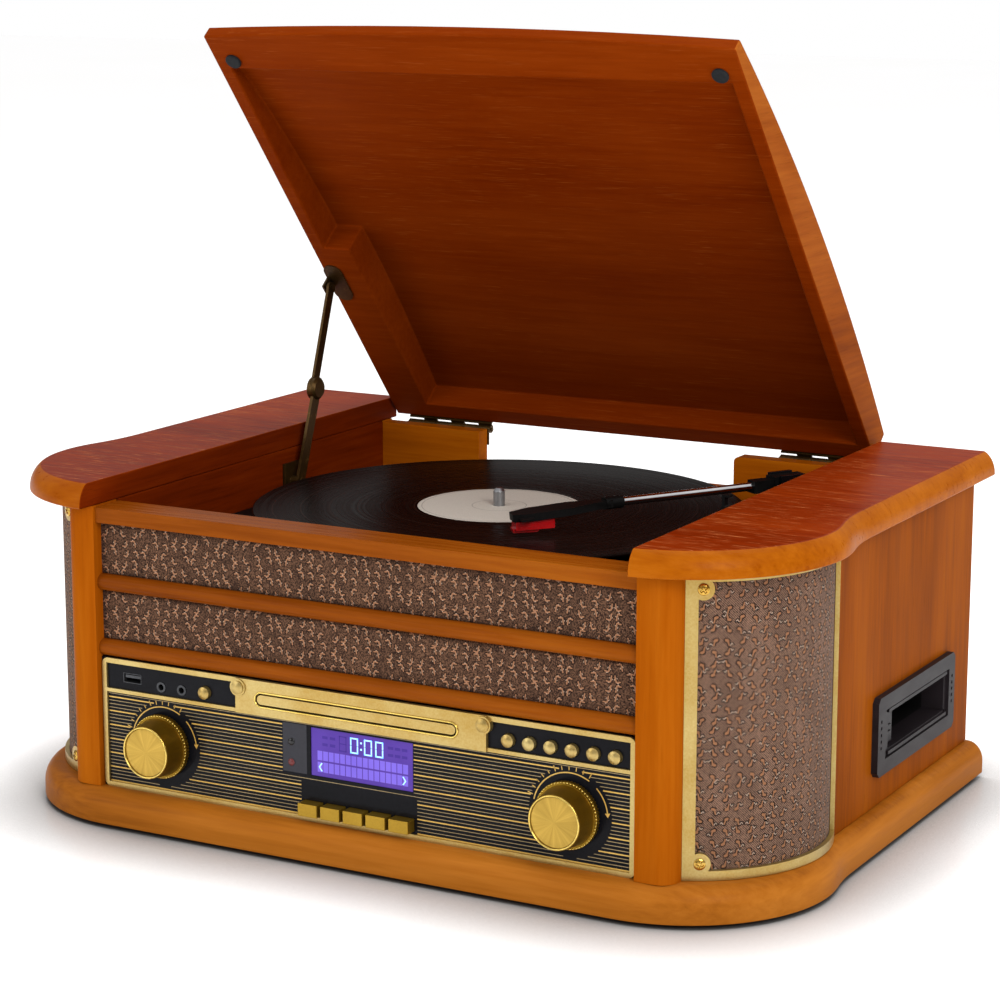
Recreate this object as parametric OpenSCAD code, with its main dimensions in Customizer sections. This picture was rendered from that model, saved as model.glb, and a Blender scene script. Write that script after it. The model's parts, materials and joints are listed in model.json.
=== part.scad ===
// Retro wooden stereo music centre: turntable, disc player, cassette slot and radio.
// X is to the right, Y runs from the control panel to the back, Z is up.
// Inside the file Y is counted from the front of the control panel's gold trim and Z from
// the floor. Every node is then moved along Y, so that the origin is the bottom centre of
// the box round the whole object with its lid open.

/* [Cabinet] */
// Width over the side panels
cab_w = 485; // [470:1:520]
// From the control panel's face to the back of the cabinet
cab_d = 337; // [332:1:360]
// Height of the side panels, from the plinth to the top wings
body_h = 170.5; // [168:0.5:185]
// Width between the two front posts, and of the turntable well
bay_w = 354; // [352:1:362]
// Thickness of the side and back panels
panel_t = 12; // [9:0.5:14]
// Thickness of the two inner walls of the turntable well
well_wall_t = 10; // [6:0.5:12]

/* [Plinth and feet] */
// Height of the feet below the plinth
foot_h = 2.5; // [2:0.5:6]
// Radius of a foot
foot_r = 9; // [6:0.5:14]
// Thickness of the plinth
plinth_h = 20; // [17:0.5:26]
// How far the plinth's straight side stands out past the cabinet
plinth_lip = 11; // [8:0.5:14]
// Radius of the plinth's front corners in plan
plinth_corner_r = 90; // [84:0.5:94]
// Width of the plinth's rounded upper edge
plinth_round_w = 10; // [6:0.5:12]
// Height of the plinth's rounded upper edge
plinth_round_h = 12; // [8:0.5:14]
// How far the plinth stands out past the back of the cabinet
plinth_back = 2.5; // [0:0.5:6]

/* [Top wings] */
// Thickness of the two top wings
wing_t = 14.5; // [12:0.5:18]
// How far the straight upper arris of a wing stands out past the cabinet
wing_lip = 4; // [2:0.5:6]
// How far the moulded edge flares out below its upper arris
wing_flare = 7; // [4:0.5:8]
// Radius of the upper arris of a wing's front corner in plan
wing_corner_r = 86.5; // [82:0.5:90]
// How far a wing stands out past the back of the cabinet
wing_back = 6.5; // [2:0.5:8]
// From the cabinet's side to the centre of the corner curves
corner_in = 75; // [72:0.5:80]
// From the control panel's face to the centre of the corner curves
corner_y = 77.5; // [74:0.5:82]
// Radius of the hollow curve that leads from a corner to the straight side
sweep_r = 150; // [120:1:180]

/* [Front posts and rails] */
// How far the posts stand in front of the control panel
post_proud = 3.2; // [2:0.1:5]
// Width of a post
post_w = 22.3; // [20:0.1:26]
// Depth of a post
post_d = 23.2; // [22:0.1:26]
// Rounding of a post's outer front edge
post_round = 11; // [4:0.5:11]
// Height of the rail in front of the lid
top_rail_h = 9; // [7:0.5:12]
// Depth of the rail in front of the lid
top_rail_d = 23.5; // [21:0.5:24]
// How far that rail stands in front of the control panel
top_rail_proud = 1.5; // [0.5:0.1:3]
// Height of the two half-round rails
bead_h = 10; // [8:0.5:12]
// Height of the upper half-round rail's middle above the lower one's
bead_pitch = 39.5; // [36:0.5:42]
// How far the front cloth lies behind the control panel's face
cloth_in = 5; // [4:0.1:6]
// Thickness of the board that carries the front cloth
cloth_board_t = 7; // [4:0.5:8]

/* [Speaker corners] */
// Radius of the curved speaker front in plan
curve_r = 82.3; // [81:0.1:83]
// From the control panel's face to the centre of the curved speaker front
curve_cy = 85.6; // [84:0.1:87]
// Where the speaker frame ends, behind the control panel's face
curve_y1 = 118.3; // [114:0.1:122]
// Thickness of the gold speaker frame
frame_t = 2.6; // [2:0.1:3.5]
// Width of the frame's front upright
frame_front_w = 7; // [6:0.1:9]
// Width of the frame's rear upright
frame_rear_w = 5; // [4:0.1:7]
// Height of the frame's lower strip
frame_low_h = 5.4; // [4:0.1:6]
// Height of the frame's upper strip
frame_high_h = 4.8; // [4:0.1:8]
// Radius of the round screw bosses in the frame's corners
frame_boss_r = 6; // [5:0.1:8]
// Thickness of the cloth on its curved backing
speaker_cloth_t = 1.2; // [1:0.1:2]
// Thickness of the curved baffle board
baffle_t = 10; // [8:0.5:12]
// Radius of a loudspeaker's frame
driver_r = 40; // [36:1:42]
// Radius of the hole in front of the cone
cone_r = 33; // [28:1:35]
// Depth of a loudspeaker behind its frame
driver_depth = 36; // [34:1:40]

/* [Control panel] */
// Height of the control panel
fascia_h = 79; // [76:0.5:82]
// Gap between the gold trim and each post
fascia_gap = 1.2; // [0.8:0.1:2]
// Thickness of the black panel
fascia_t = 3.5; // [2.5:0.1:4.5]
// How far the trim stands in front of the black panel
trim_relief = 1.5; // [1:0.1:2]
// Width of the trim's border
trim_w = 3; // [2:0.1:4]
// Radius of the trim's outer corners
trim_round = 4; // [1:0.5:6]
// Middle height of the strip of sockets and round buttons, above the plinth
strip_z = 66.5; // [64:0.5:67.5]
// Height of the bar below that strip, above the plinth
bar_z = 59.5; // [57:0.5:60.5]
// Height of that bar
bar_h = 2.2; // [1.5:0.1:3]
// Left edge of the gold plate round the disc slot
slot_plate_x0 = -80.5; // [-84:0.5:-78]
// Right edge of the gold plate round the disc slot
slot_plate_x1 = 85; // [82:0.5:88]
// Radius of the round caps at the plate's upper corners
cap_r = 3.9; // [3:0.1:4.5]
// Left edge of the display
display_x0 = -31; // [-33:0.5:-29]
// Width of the display
display_w = 67.7; // [64:0.1:70]
// Height of the display
display_h = 28.5; // [26:0.1:30]
// Height of the display's lower edge above the plinth
display_z = 27.2; // [25:0.1:28.5]

/* [Knobs and buttons] */
// Place of the volume knob across the panel
volume_x = -133; // [-138:0.5:-128]
// Place of the tuning knob across the panel
tuning_x = 136; // [130:0.5:140]
// Height of the knobs' axes above the plinth
knob_z = 30.6; // [28:0.1:33]
// Radius of a knob's knurled skirt
knob_skirt_r = 19.3; // [17:0.1:21]
// Radius of a knob's front face
knob_face_r = 15.7; // [13:0.1:16.5]
// Length of a knob
knob_len = 17.5; // [14:0.5:20]
// Thickness of the knurled skirt
knob_skirt_t = 3.6; // [2.5:0.1:5]
// Teeth round the skirt
knob_teeth = 60; // [40:2:80]
// Gap between a released knob and the black panel
knob_gap = 2; // [1.6:0.1:3]
// Travel of a knob when it is pressed
knob_travel = 1; // [0.5:0.1:1.4]
// Radius of a knob's shaft
shaft_r = 3; // [2.5:0.1:3.4]
// Radius of a round button
round_btn_r = 3.7; // [3:0.1:4]
// Spacing of the round buttons
round_btn_pitch = 13.1; // [12:0.1:13.6]
// Place of the first round button of the right-hand row
round_btn_x = 98; // [96:0.5:99]
// Place of the function button on the left
function_x = -103; // [-106:0.5:-100]
// How far a round button stands out of the panel
round_btn_out = 3.6; // [2.5:0.1:5]
// Width of a flat button
flat_btn_w = 12.8; // [11:0.1:13.5]
// Height of a flat button
flat_btn_h = 7.6; // [6:0.1:8]
// Spacing of the flat buttons
flat_btn_pitch = 15.1; // [14.5:0.1:16]
// Height of the flat buttons' lower edge above the plinth
flat_btn_z = 4.2; // [3.6:0.1:5]
// How far a flat button stands out of the panel
flat_btn_out = 7; // [5:0.1:8]
// Travel of every button
btn_travel = 1.2; // [0.6:0.1:1.5]
// Clearance all round a button in its hole
btn_gap = 0.3; // [0.2:0.05:0.5]

/* [Disc player] */
// Width of the disc tray's front
tray_w = 131; // [128:0.5:134]
// Height of the disc tray's front
tray_h = 5.6; // [5:0.1:6.5]
// Length of the disc tray
tray_len = 150; // [140:1:158]
// Radius of the hollow for a disc
disc_r = 60.6; // [60:0.1:61]
// Gap between the tray and the slot
slot_gap = 1.2; // [0.8:0.1:1.6]

/* [Cassette slot] */
// Length of the cassette bezel
bezel_w = 127.5; // [126:0.5:140]
// Height of the cassette bezel
bezel_h = 47.5; // [46:0.5:58]
// Where the bezel starts, behind the control panel's face
bezel_y = 174; // [164:1:180]
// Height of the bezel's lower edge above the plinth
bezel_z = 19.5; // [14:0.5:26]
// How far the bezel stands out of the side panel
bezel_out = 4; // [3:0.1:6]
// Length of the opening in the bezel
mouth_w = 93; // [90:0.5:98]
// Height of the opening in the bezel
mouth_h = 21.5; // [19:0.5:24]
// Width of the eject key in the opening
key_w = 13; // [10:0.5:15]
// Travel of the eject key
key_travel = 4; // [2:0.5:5]
// Depth of the cassette mechanism
tape_depth = 108; // [104:1:116]

/* [Turntable] */
// Place of the spindle across the cabinet
spindle_x = -4; // [-8:0.5:2]
// Place of the spindle behind the control panel's face
spindle_y = 175.5; // [175:0.5:178]
// Height of the deck's upper face below the top of the front rail
deck_down = 30; // [28:0.5:34]
// Thickness of the deck plate
deck_t = 3; // [2:0.5:4]
// Radius of the platter
platter_r = 98; // [90:1:110]
// Height of the platter with its mat
platter_h = 12.5; // [11:0.5:13]
// Gap between the platter and the deck
platter_gap = 2.2; // [1.5:0.1:3]
// Radius of the record
record_r = 150.75; // [140:0.25:150.75]
// Thickness of the record
record_t = 1.8; // [1.2:0.1:2.2]
// Radius of the record's label
label_r = 50; // [45:0.5:52]
// Radius of the spindle
spindle_r = 3.55; // [3.4:0.05:3.6]
// Height of the spindle above the record
spindle_up = 11; // [7:0.5:13]
// Radius of the drum that the belt drives
drum_r = 58; // [50:1:64]
// Radius of the motor's pulley
pulley_r = 5; // [4:0.1:6]
// Distance from the spindle to the motor's shaft
pulley_reach = 76; // [72:1:80]

/* [Tonearm] */
// Place of the tonearm's pivot across the cabinet
pivot_x = 153.5; // [152:0.5:155]
// Place of the tonearm's pivot behind the control panel's face
pivot_y = 251; // [247:0.5:256]
// Height of the arm's axis above the record
arm_up = 16.3; // [15.5:0.1:17]
// Length of the arm's tube, from its pivot to the headshell
arm_tube = 126.5; // [122:0.5:130]
// Length of the headshell, from the tube to the stylus
shell_len = 53.5; // [50:0.5:57]
// Angle of the arm over the record, from straight ahead
arm_swing = 32; // [28:0.5:36]
// Angle of the headshell from the tube
shell_turn = 17.5; // [12:0.5:22]
// Downward slope of the headshell
shell_slope = 6; // [3:0.5:8]
// Radius of the arm's tube
tube_r = 2.6; // [2:0.1:3]
// Radius of the arm's base
arm_base_r = 15; // [12:0.5:17]

/* [Lid] */
// Length of the lid from its back to its front corners
lid_len = 347.2; // [344:0.1:350]
// Gap between the lid and each top wing
lid_gap = 2; // [1.5:0.1:4]
// How far the lid's front edge bows forward
lid_bow = 6; // [3:0.5:9]
// Thickness of the lid at its front edge
lid_front_t = 8.5; // [7:0.1:10]
// Thickness of the lid at its back edge
lid_back_t = 21.5; // [19:0.1:24]
// Radius of the lid's crown, from front to back
crown_r = 1320; // [1200:10:1500]
// Thickness of the lid's skin over the hollow
lid_skin = 6; // [5:0.1:7]
// Width of the lid's side rails
lid_side_rail = 9.5; // [8:0.5:13]
// Width of the lid's left rail behind its step
lid_stay_rail = 28.5; // [20:0.5:32]
// Place of that step, from the lid's back
lid_step = 165; // [160:1:180]
// Width of the lid's front rail at its corners
lid_front_rail = 26; // [15:0.5:32]
// Width of the lid's back rail
lid_back_rail = 14; // [13:0.5:18]
// Height of the lid's rubber pads
pad_h = 1.95; // [1.5:0.05:2.5]
// Radius of the lid's rubber pads
pad_r = 5; // [4:0.5:7]
// From the lid's front corners to the middle of its pads
pad_in = 19; // [8:0.5:24]
// How far the lid is open
lid_open = 49.6; // [35:0.1:60]

/* [Hinges and stay] */
// Radius of a hinge's knuckle
knuckle_r = 2.4; // [2.2:0.1:2.8]
// Radius of a hinge's pin
pin_r = 1.2; // [1:0.1:1.4]
// Length of a hinge
hinge_w = 64; // [56:1:66]
// Middle of the left hinge
hinge_left = -133; // [-137:0.5:-130]
// Middle of the right hinge
hinge_right = 143; // [136:0.5:143]
// Clearance between a hinge's pin and the lid's knuckles
pin_gap = 0.05; // [0.03:0.01:0.08]
// How far the stay's knee stands back from the straight line
stay_bend = 0.6; // [0.4:0.1:2]
// Share of the stay that its lower link takes
stay_share = 0.48; // [0.46:0.01:0.5]
// Width of the stay's upper link
link_w = 7; // [5:0.1:8]
// Width of the stay's lower link
link_low_w = 8; // [6:0.1:9]
// Radius of the stay's knee
knee_r = 7.4; // [5:0.1:8]
// Thickness of the stay's links
link_t = 2; // [1.5:0.1:2.2]
// Radius of the stay's pivots
stay_pin_r = 1.8; // [1.2:0.1:2]

/* [Hidden] */
$fn = 64;
eps = 0.01;
// Heights of the main levels
plinth_top = foot_h + plinth_h;
wing_z = plinth_top + body_h;
rail_top = wing_z - 1;
lid_z = rail_top + 2;
fascia_top = plinth_top + fascia_h;
deck_z = rail_top - deck_down;
platter_z = deck_z + platter_gap;
record_z = platter_z + platter_h;
record_top = record_z + record_t;
top_z = wing_z + wing_t;
// Places across and along the cabinet
side_x = cab_w / 2;
side_in = side_x - panel_t;
bay_x = bay_w / 2;
post_x = bay_x + post_w;
back_in = cab_d - panel_t;
wing_end = cab_d + wing_back;
corner_x = side_x - corner_in;
cloth_back = cloth_in + cloth_board_t;
top_rail_back = top_rail_d - top_rail_proud;
bead_low = fascia_top + bead_h / 2 + 0.5;
bead_high = bead_low + bead_pitch;
panel_y = trim_relief;
panel_back = panel_y + fascia_t;
trim_x = bay_x - fascia_gap;
// The curved speaker front runs from the post to the side panel
curve_c = [corner_x, curve_cy];
curve_a0 = -acos((post_x - corner_x) / curve_r);
curve_a1 = asin((curve_y1 - curve_cy) / curve_r);
curve_mid = (curve_a0 + curve_a1) / 2;
cloth_r = curve_r - frame_t;
baffle_r = cloth_r - speaker_cloth_t;
baffle_in = baffle_r - baffle_t;
driver_z = plinth_top + body_h / 2 + 2;
// The plane in which a loudspeaker's frame lies, from the curve's centre
driver_seat = sqrt(baffle_in * baffle_in - driver_r * driver_r);
screw_out = 2.2;
frame_inset = 0.3;
frame_z0 = plinth_top + frame_inset;
frame_z1 = wing_z - frame_inset;
cloth_z0 = frame_z0 + frame_low_h;
cloth_z1 = frame_z1 - frame_high_h;
// Along the curve, one millimetre is this angle
curve_deg = 180 / (PI * curve_r);
boss_deg = curve_a0 + (frame_front_w + 2.6) * curve_deg;
boss_low = cloth_z0 + 4;
boss_high = cloth_z1 - 4;
// Control panel
knob_axis_z = plinth_top + knob_z;
strip_mid = plinth_top + strip_z;
bar_mid = plinth_top + bar_z;
display_z0 = plinth_top + display_z;
flat_btn_x = 0.6;
flat_plate_gap = 1.2;
board_y = panel_back + 9;
board_t = 1.6;
usb_x = -155;
usb_w = 13;
usb_h = 6;
jack_xs = [-134.3, -119.8];
jack_r = 1.8;
lens_x = -44;
lens_r = 2.3;
lens_zs = [display_z0 + 6, display_z0 + 18.2];
slot_z = strip_mid + 1.5;
slot_h = tray_h + 2 * slot_gap;
slot_w = tray_w + 2 * slot_gap;
tray_y0 = -1;
// Turntable and tonearm
arm_z = record_top + arm_up;
drum_h = 5;
pulley_a = 215;
pulley_x = spindle_x + pulley_reach * cos(pulley_a);
pulley_y = spindle_y + pulley_reach * sin(pulley_a);
belt_gap = 0.3;
belt_t = 0.8;
belt_h = 3;
belt_z = platter_z + 0.6;
rest_y = pivot_y - 105;
rest_turn = 31;
// Lid, hinges and stay
lid_x = bay_x - lid_gap;
pin_y = cab_d + 4;
pin_z = rail_top - 1;
lid_back = cab_d + 0.5;
lid_corner = lid_back - lid_len;
lid_front = lid_corner - lid_bow;
bow_r = (lid_x * lid_x + lid_bow * lid_bow) / (2 * lid_bow);
crown_a = [lid_corner, lid_z + lid_front_t];
crown_b = [lid_back, lid_z + lid_back_t];
crown_half = norm(crown_b - crown_a) / 2;
crown_dir = (crown_b - crown_a) / (2 * crown_half);
crown_drop = sqrt(crown_r * crown_r - crown_half * crown_half);
crown_c = (crown_a + crown_b) / 2 + crown_drop * [crown_dir[1], -crown_dir[0]];
leaf_t = 0.9;
leaf_d = 11;
stay_x = -bay_x + 4.5;
stay_foot = [cab_d - 129, deck_z + 10];
stay_lid = [cab_d - 132, lid_z - 5.5];
// A point of the closed lid, turned with it to the open place
function opened(p) = let (c = cos(lid_open), s = sin(lid_open), v = p - [pin_y, pin_z])
    [pin_y + v[0] * c + v[1] * s, pin_z - v[0] * s + v[1] * c];
stay_top = opened(stay_lid);
stay_run = stay_top - stay_foot;
stay_knee = stay_foot + stay_share * stay_run + stay_bend * [stay_run[1], -stay_run[0]] / norm(stay_run);
// The box round the object, which sets the origin
wing_front = corner_y - wing_corner_r - wing_flare;
front_end = min(wing_front, corner_y - plinth_corner_r, panel_y - knob_gap - knob_len);
back_end = max(opened([lid_back, lid_z + lid_back_t])[0], cab_d + 12);
origin_y = (front_end + back_end) / 2;

// ---- Helpers ----

// Puts a piece in the row's frame
module seat() translate([0, -origin_y, 0]) children();

// The piece and its mirror image on the other side
module both() { children(); mirror([1, 0, 0]) children(); }

// A box from its two corners
module block(a, b) translate(a) cube(b - a);

// A cylinder along Y from y0 to y1
module rod_y(x, z, r, y0, y1) translate([x, y0, z]) rotate([-90, 0, 0]) cylinder(r = r, h = y1 - y0);

// A cylinder along X from x0 to x1
module rod_x(y, z, r, x0, x1) translate([x0, y, z]) rotate([0, 90, 0]) cylinder(r = r, h = x1 - x0);

// A bar along Y whose ends across X are half round
module stadium_y(x0, x1, z, h, y0, y1) {
    r = h / 2;
    block([x0 + r, y0, z - r], [x1 - r, y1, z + r]);
    for (x = [x0 + r, x1 - r]) rod_y(x, z, r, y0, y1);
}

// Turns a piece of the closed lid to its open place
module on_lid() translate([0, pin_y, pin_z]) rotate([-lid_open, 0, 0]) translate([0, -pin_y, -pin_z]) children();

// Places a piece whose own -X axis looks out of the right speaker front
module at_driver() translate([curve_c[0], curve_c[1], driver_z]) rotate([0, 0, curve_mid]) children();

// A wall that follows the right speaker front, between two radii, heights and angles
module curved_wall(r0, r1, z0, z1, a0, a1)
    translate([curve_c[0], curve_c[1], z0]) rotate([0, 0, a0])
        rotate_extrude(angle = a1 - a0, $fn = 180) translate([r0, 0]) square([r1 - r0, z1 - z0]);

// ---- Moulded slabs: the plinth and the two top wings ----

// Edge profile, as steps [outwards, up] from the lower edge to the top arris. It follows an
// ellipse from the angle a0, which is 0 for a quarter round and more for a sharper arris
function edge_steps(w, h, drop, a0 = 0, steps = 7) = concat([[w, -drop]],
    [for (i = [steps:-1:0]) let (a = a0 + (90 - a0) * i / steps)
        [w * (sin(a) - sin(a0)) / (1 - sin(a0)), h * (cos(a) / cos(a0) - 1)]]);

// Where the corner's round meets the hollow sweep, as an angle about the corner's centre
function sweep_turn(arris, corner) = acos((arris + sweep_r - corner_x) / (corner + sweep_r));

// Plan of a slab's right side at the distance d outside its top arris: a round corner from
// the angle a0, a hollow sweep and a straight side. arris is the straight side's place and
// corner the corner's radius
function side_line(arris, corner, y_end, d, a0) = let (
    turn = sweep_turn(arris, corner),
    join_y = corner_y + (corner + sweep_r) * sin(turn)) concat(
        [for (i = [0:28]) let (a = a0 + (turn - a0) * i / 28)
            [corner_x + (corner + d) * cos(a), corner_y + (corner + d) * sin(a)]],
        [for (i = [1:6]) let (a = 180 + turn * (1 - i / 6))
            [arris + sweep_r + (sweep_r - d) * cos(a), join_y + (sweep_r - d) * sin(a)]],
        [[arris + d, y_end]]);

// Skins a stack of outlines, each with the same number of points and its own height
module loft(rings, heights) {
    n = len(rings[0]);
    top = (len(rings) - 1) * n;
    polyhedron(
        points = [for (k = [0:len(rings) - 1]) for (p = rings[k]) [p[0], p[1], heights[k]]],
        faces = concat([[for (i = [0:n - 1]) i]], [[for (i = [n - 1:-1:0]) top + i]],
            [for (k = [0:len(rings) - 2], i = [0:n - 1]) [k * n + i, (k + 1) * n + i, (k + 1) * n + (i + 1) % n]],
            [for (k = [0:len(rings) - 2], i = [0:n - 1])
                [k * n + i, (k + 1) * n + (i + 1) % n, k * n + (i + 1) % n]]));
}

module base_plinth() color("chocolate") seat() {
    steps = edge_steps(plinth_round_w, plinth_round_h, plinth_h);
    arris = side_x + plinth_lip - plinth_round_w;
    corner = plinth_corner_r - plinth_round_w;
    loft([for (e = steps) let (line = side_line(arris, corner, cab_d + plinth_back, e[0], -90))
        concat(line, [for (i = [len(line) - 1:-1:0]) [-line[i][0], line[i][1]]])],
        [for (e = steps) plinth_top + e[1]]);
}

module top_wings() color("peru") seat() {
    steps = edge_steps(wing_flare, wing_t - 1, wing_t, 28);
    both() loft([for (e = steps) concat(
        side_line(side_x + wing_lip, wing_corner_r, wing_end, e[0],
            -acos((bay_x - corner_x) / (wing_corner_r + e[0]))), [[bay_x, wing_end]])],
        [for (e = steps) top_z + e[1]]);
}

module rubber_feet() color("dimgray") seat()
    both() for (y = [corner_y - 35, cab_d - 35])
        translate([corner_x + 42, y, 0]) cylinder(r = foot_r, h = foot_h);

// ---- Cabinet ----

module side_panels() color("sandybrown") seat() {
    y0 = curve_y1 + 0.6;
    difference() {
        block([side_in, y0, plinth_top], [side_x, cab_d, wing_z]);
        block([side_in - 1, bezel_y + 8, plinth_top + bezel_z + 8],
            [side_x + 1, bezel_y + bezel_w - 8, plinth_top + bezel_z + bezel_h - 8]);
    }
    mirror([1, 0, 0]) block([side_in, y0, plinth_top], [side_x, cab_d, wing_z]);
}

// The post's back corner is cut off along the end of the curved baffle
function cut_x(y) = curve_c[0] - (curve_c[1] - y) / tan(curve_a0) - 0.1;
module front_posts() color("chocolate") seat() {
    reach = post_d - post_proud;
    both() translate([0, 0, plinth_top]) linear_extrude(body_h) difference() {
        union() {
            polygon([[bay_x, -post_proud], [post_x - post_round, -post_proud],
                [post_x - post_round, post_round - post_proud], [post_x, post_round - post_proud],
                [post_x, reach], [bay_x, reach]]);
            translate([post_x - post_round, post_round - post_proud]) circle(r = post_round - eps);
        }
        polygon([[cut_x(-post_proud), -post_proud], [post_x + 20, -post_proud], [post_x + 20, reach + 1],
            [cut_x(reach + 1), reach + 1]]);
    }
}

module front_rails() color("peru") seat() {
    block([-bay_x, -top_rail_proud, rail_top - top_rail_h], [bay_x, top_rail_back, rail_top]);
    for (z = [bead_low, bead_high]) {
        rod_x(cloth_in - 1, z, bead_h / 2, -bay_x, bay_x);
        block([-bay_x, cloth_in - 1, z - bead_h / 2], [bay_x, cloth_in, z + bead_h / 2]);
    }
}

module front_cloth_board() color("rosybrown") seat() difference() {
    block([-bay_x, cloth_in, fascia_top], [bay_x, cloth_back, rail_top - top_rail_h]);
    for (z = [bead_low, bead_high])
        rod_x(cloth_in - 1, z, bead_h / 2 + eps, -bay_x - 1, bay_x + 1);
}

module well_walls() color("sienna") seat()
    both() {
        block([bay_x, top_rail_back, deck_z - deck_t - 16], [bay_x + well_wall_t, back_in, wing_z]);
        block([bay_x - 9, top_rail_back, deck_z - deck_t - 8], [bay_x, back_in, deck_z - deck_t]);
    }

cut_x0 = -102;
cut_x1 = 85;
cut_round = 3.5;
module back_panel() color("sienna") seat() {
    cut_z = record_z - 6;
    difference() {
        union() {
            block([-side_in, back_in, plinth_top], [side_in, cab_d, rail_top]);
            both() block([bay_x, back_in, rail_top - 1], [side_in, cab_d, wing_z]);
        }
        // The hollow that clears the back of the record
        block([cut_x0, back_in - 1, cut_z], [cut_x1, cab_d + 1, rail_top + 1]);
        difference() {
            block([cut_x1 - 1, back_in - 1, rail_top - cut_round], [cut_x1 + cut_round, cab_d + 1, rail_top + 1]);
            rod_y(cut_x1 + cut_round, rail_top - cut_round, cut_round, back_in - 2, cab_d + 2);
        }
        // Slots that let the warm air out
        for (i = [0:7])
            block([-150 + i * 14, back_in - 1, plinth_top + 70], [-144 + i * 14, cab_d + 1, plinth_top + 110]);
        block([20, back_in - 1, plinth_top + 20], [150, cab_d + 1, plinth_top + 60]);
    }
}

module rear_sockets() color("dimgray") seat() {
    x0 = 14;
    x1 = 156;
    z0 = plinth_top + 14;
    z1 = plinth_top + 66;
    difference() {
        union() {
            block([x0, cab_d, z0], [x1, cab_d + 2.5, z1]);
            // Two line sockets, the aerial socket and the mains inlet's gland
            for (z = [plinth_top + 32, plinth_top + 48]) rod_y(42, z, 4.2, cab_d + 2, cab_d + 11);
            rod_y(78, plinth_top + 40, 4.8, cab_d + 2, cab_d + 12);
            rod_y(128, plinth_top + 40, 9, cab_d + 2, cab_d + 8);
            // The plate's hollow box reaches in through the back panel
            block([22, back_in - 6, plinth_top + 22], [148, cab_d + 1, plinth_top + 58]);
        }
        block([24, back_in - 8, plinth_top + 24], [146, cab_d - 1, plinth_top + 56]);
        for (z = [plinth_top + 32, plinth_top + 48]) rod_y(42, z, 1.7, cab_d + 3, cab_d + 12);
        rod_y(78, plinth_top + 40, 3.6, cab_d + 4, cab_d + 13);
        rod_y(128, plinth_top + 40, 3.6, cab_d + 3, cab_d + 9);
    }
}

// ---- Speaker corners ----

module speaker_baffles() color("saddlebrown") seat() both() difference() {
    union() {
        curved_wall(baffle_in, baffle_r, plinth_top, wing_z, curve_a0, curve_a1);
        // Flat ring behind the board, which the loudspeaker is screwed to
        intersection() {
            at_driver() rotate([0, 90, 0]) translate([0, 0, driver_seat]) cylinder(r = driver_r + 2, h = 40);
            translate([curve_c[0], curve_c[1], plinth_top]) cylinder(r = baffle_in + 2, h = body_h, $fn = 180);
        }
    }
    at_driver() rotate([0, 90, 0]) cylinder(r = cone_r, h = curve_r + 10);
}

module speaker_cloths() color("rosybrown") seat() both()
    curved_wall(baffle_r, cloth_r, plinth_top + frame_inset, wing_z - frame_inset, curve_a0, curve_a1);

// A boss or a screw on the right speaker frame, looking straight out of the curve
module on_curve(a, z, r0) translate([curve_c[0], curve_c[1], z]) rotate([0, 0, a]) rotate([0, 90, 0])
    translate([0, 0, r0]) children();

module speaker_frames() color("gold") seat() both() {
    a2 = curve_a0 + frame_front_w * curve_deg;
    a3 = curve_a1 - frame_rear_w * curve_deg;
    difference() {
        union() {
            difference() {
                curved_wall(cloth_r, curve_r, frame_z0, frame_z1, curve_a0, curve_a1);
                curved_wall(cloth_r - 1, curve_r + 1, cloth_z0, cloth_z1, a2, a3);
            }
            intersection() {
                curved_wall(cloth_r, curve_r, frame_z0, frame_z1, curve_a0, curve_a1);
                union() for (z = [boss_low, boss_high])
                    on_curve(boss_deg, z, cloth_r - 10) cylinder(r = frame_boss_r, h = 20);
            }
        }
        for (z = [boss_low, boss_high]) on_curve(boss_deg, z, cloth_r - 2) cylinder(r = 1.7, h = 20);
    }
}

module frame_screws() color("goldenrod") seat() both()
    for (z = [boss_low, boss_high]) on_curve(boss_deg, z, cloth_r) {
        translate([0, 0, frame_t]) intersection() {
            cylinder(r = 3.3, h = 2);
            translate([0, 0, -3.2]) sphere(r = 4.9);
        }
        cylinder(r = 1.6, h = frame_t + 0.5);
    }

module loudspeakers() color("slategray") seat() both() at_driver() rotate([0, 90, 0])
    translate([0, 0, driver_seat]) mirror([0, 0, 1]) rotate_extrude($fn = 96)
        polygon([[0, driver_depth], [26, driver_depth], [26, driver_depth - 12], [18, driver_depth - 12],
            [18, driver_depth - 16], [cone_r, 3], [driver_r, 3], [driver_r, 0], [cone_r + 1, 0],
            [cone_r - 2, 2.5], [12, 16], [9, 14], [0, 12]]);

// ---- Control panel ----

module button_hole(x, z) rod_y(x, z, round_btn_r + btn_gap, panel_y - 3, panel_back + 1);

function round_xs() = [for (i = [0:5]) round_btn_x + i * round_btn_pitch];
function flat_xs() = [for (i = [-2:2]) flat_btn_x + i * flat_btn_pitch];

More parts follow.
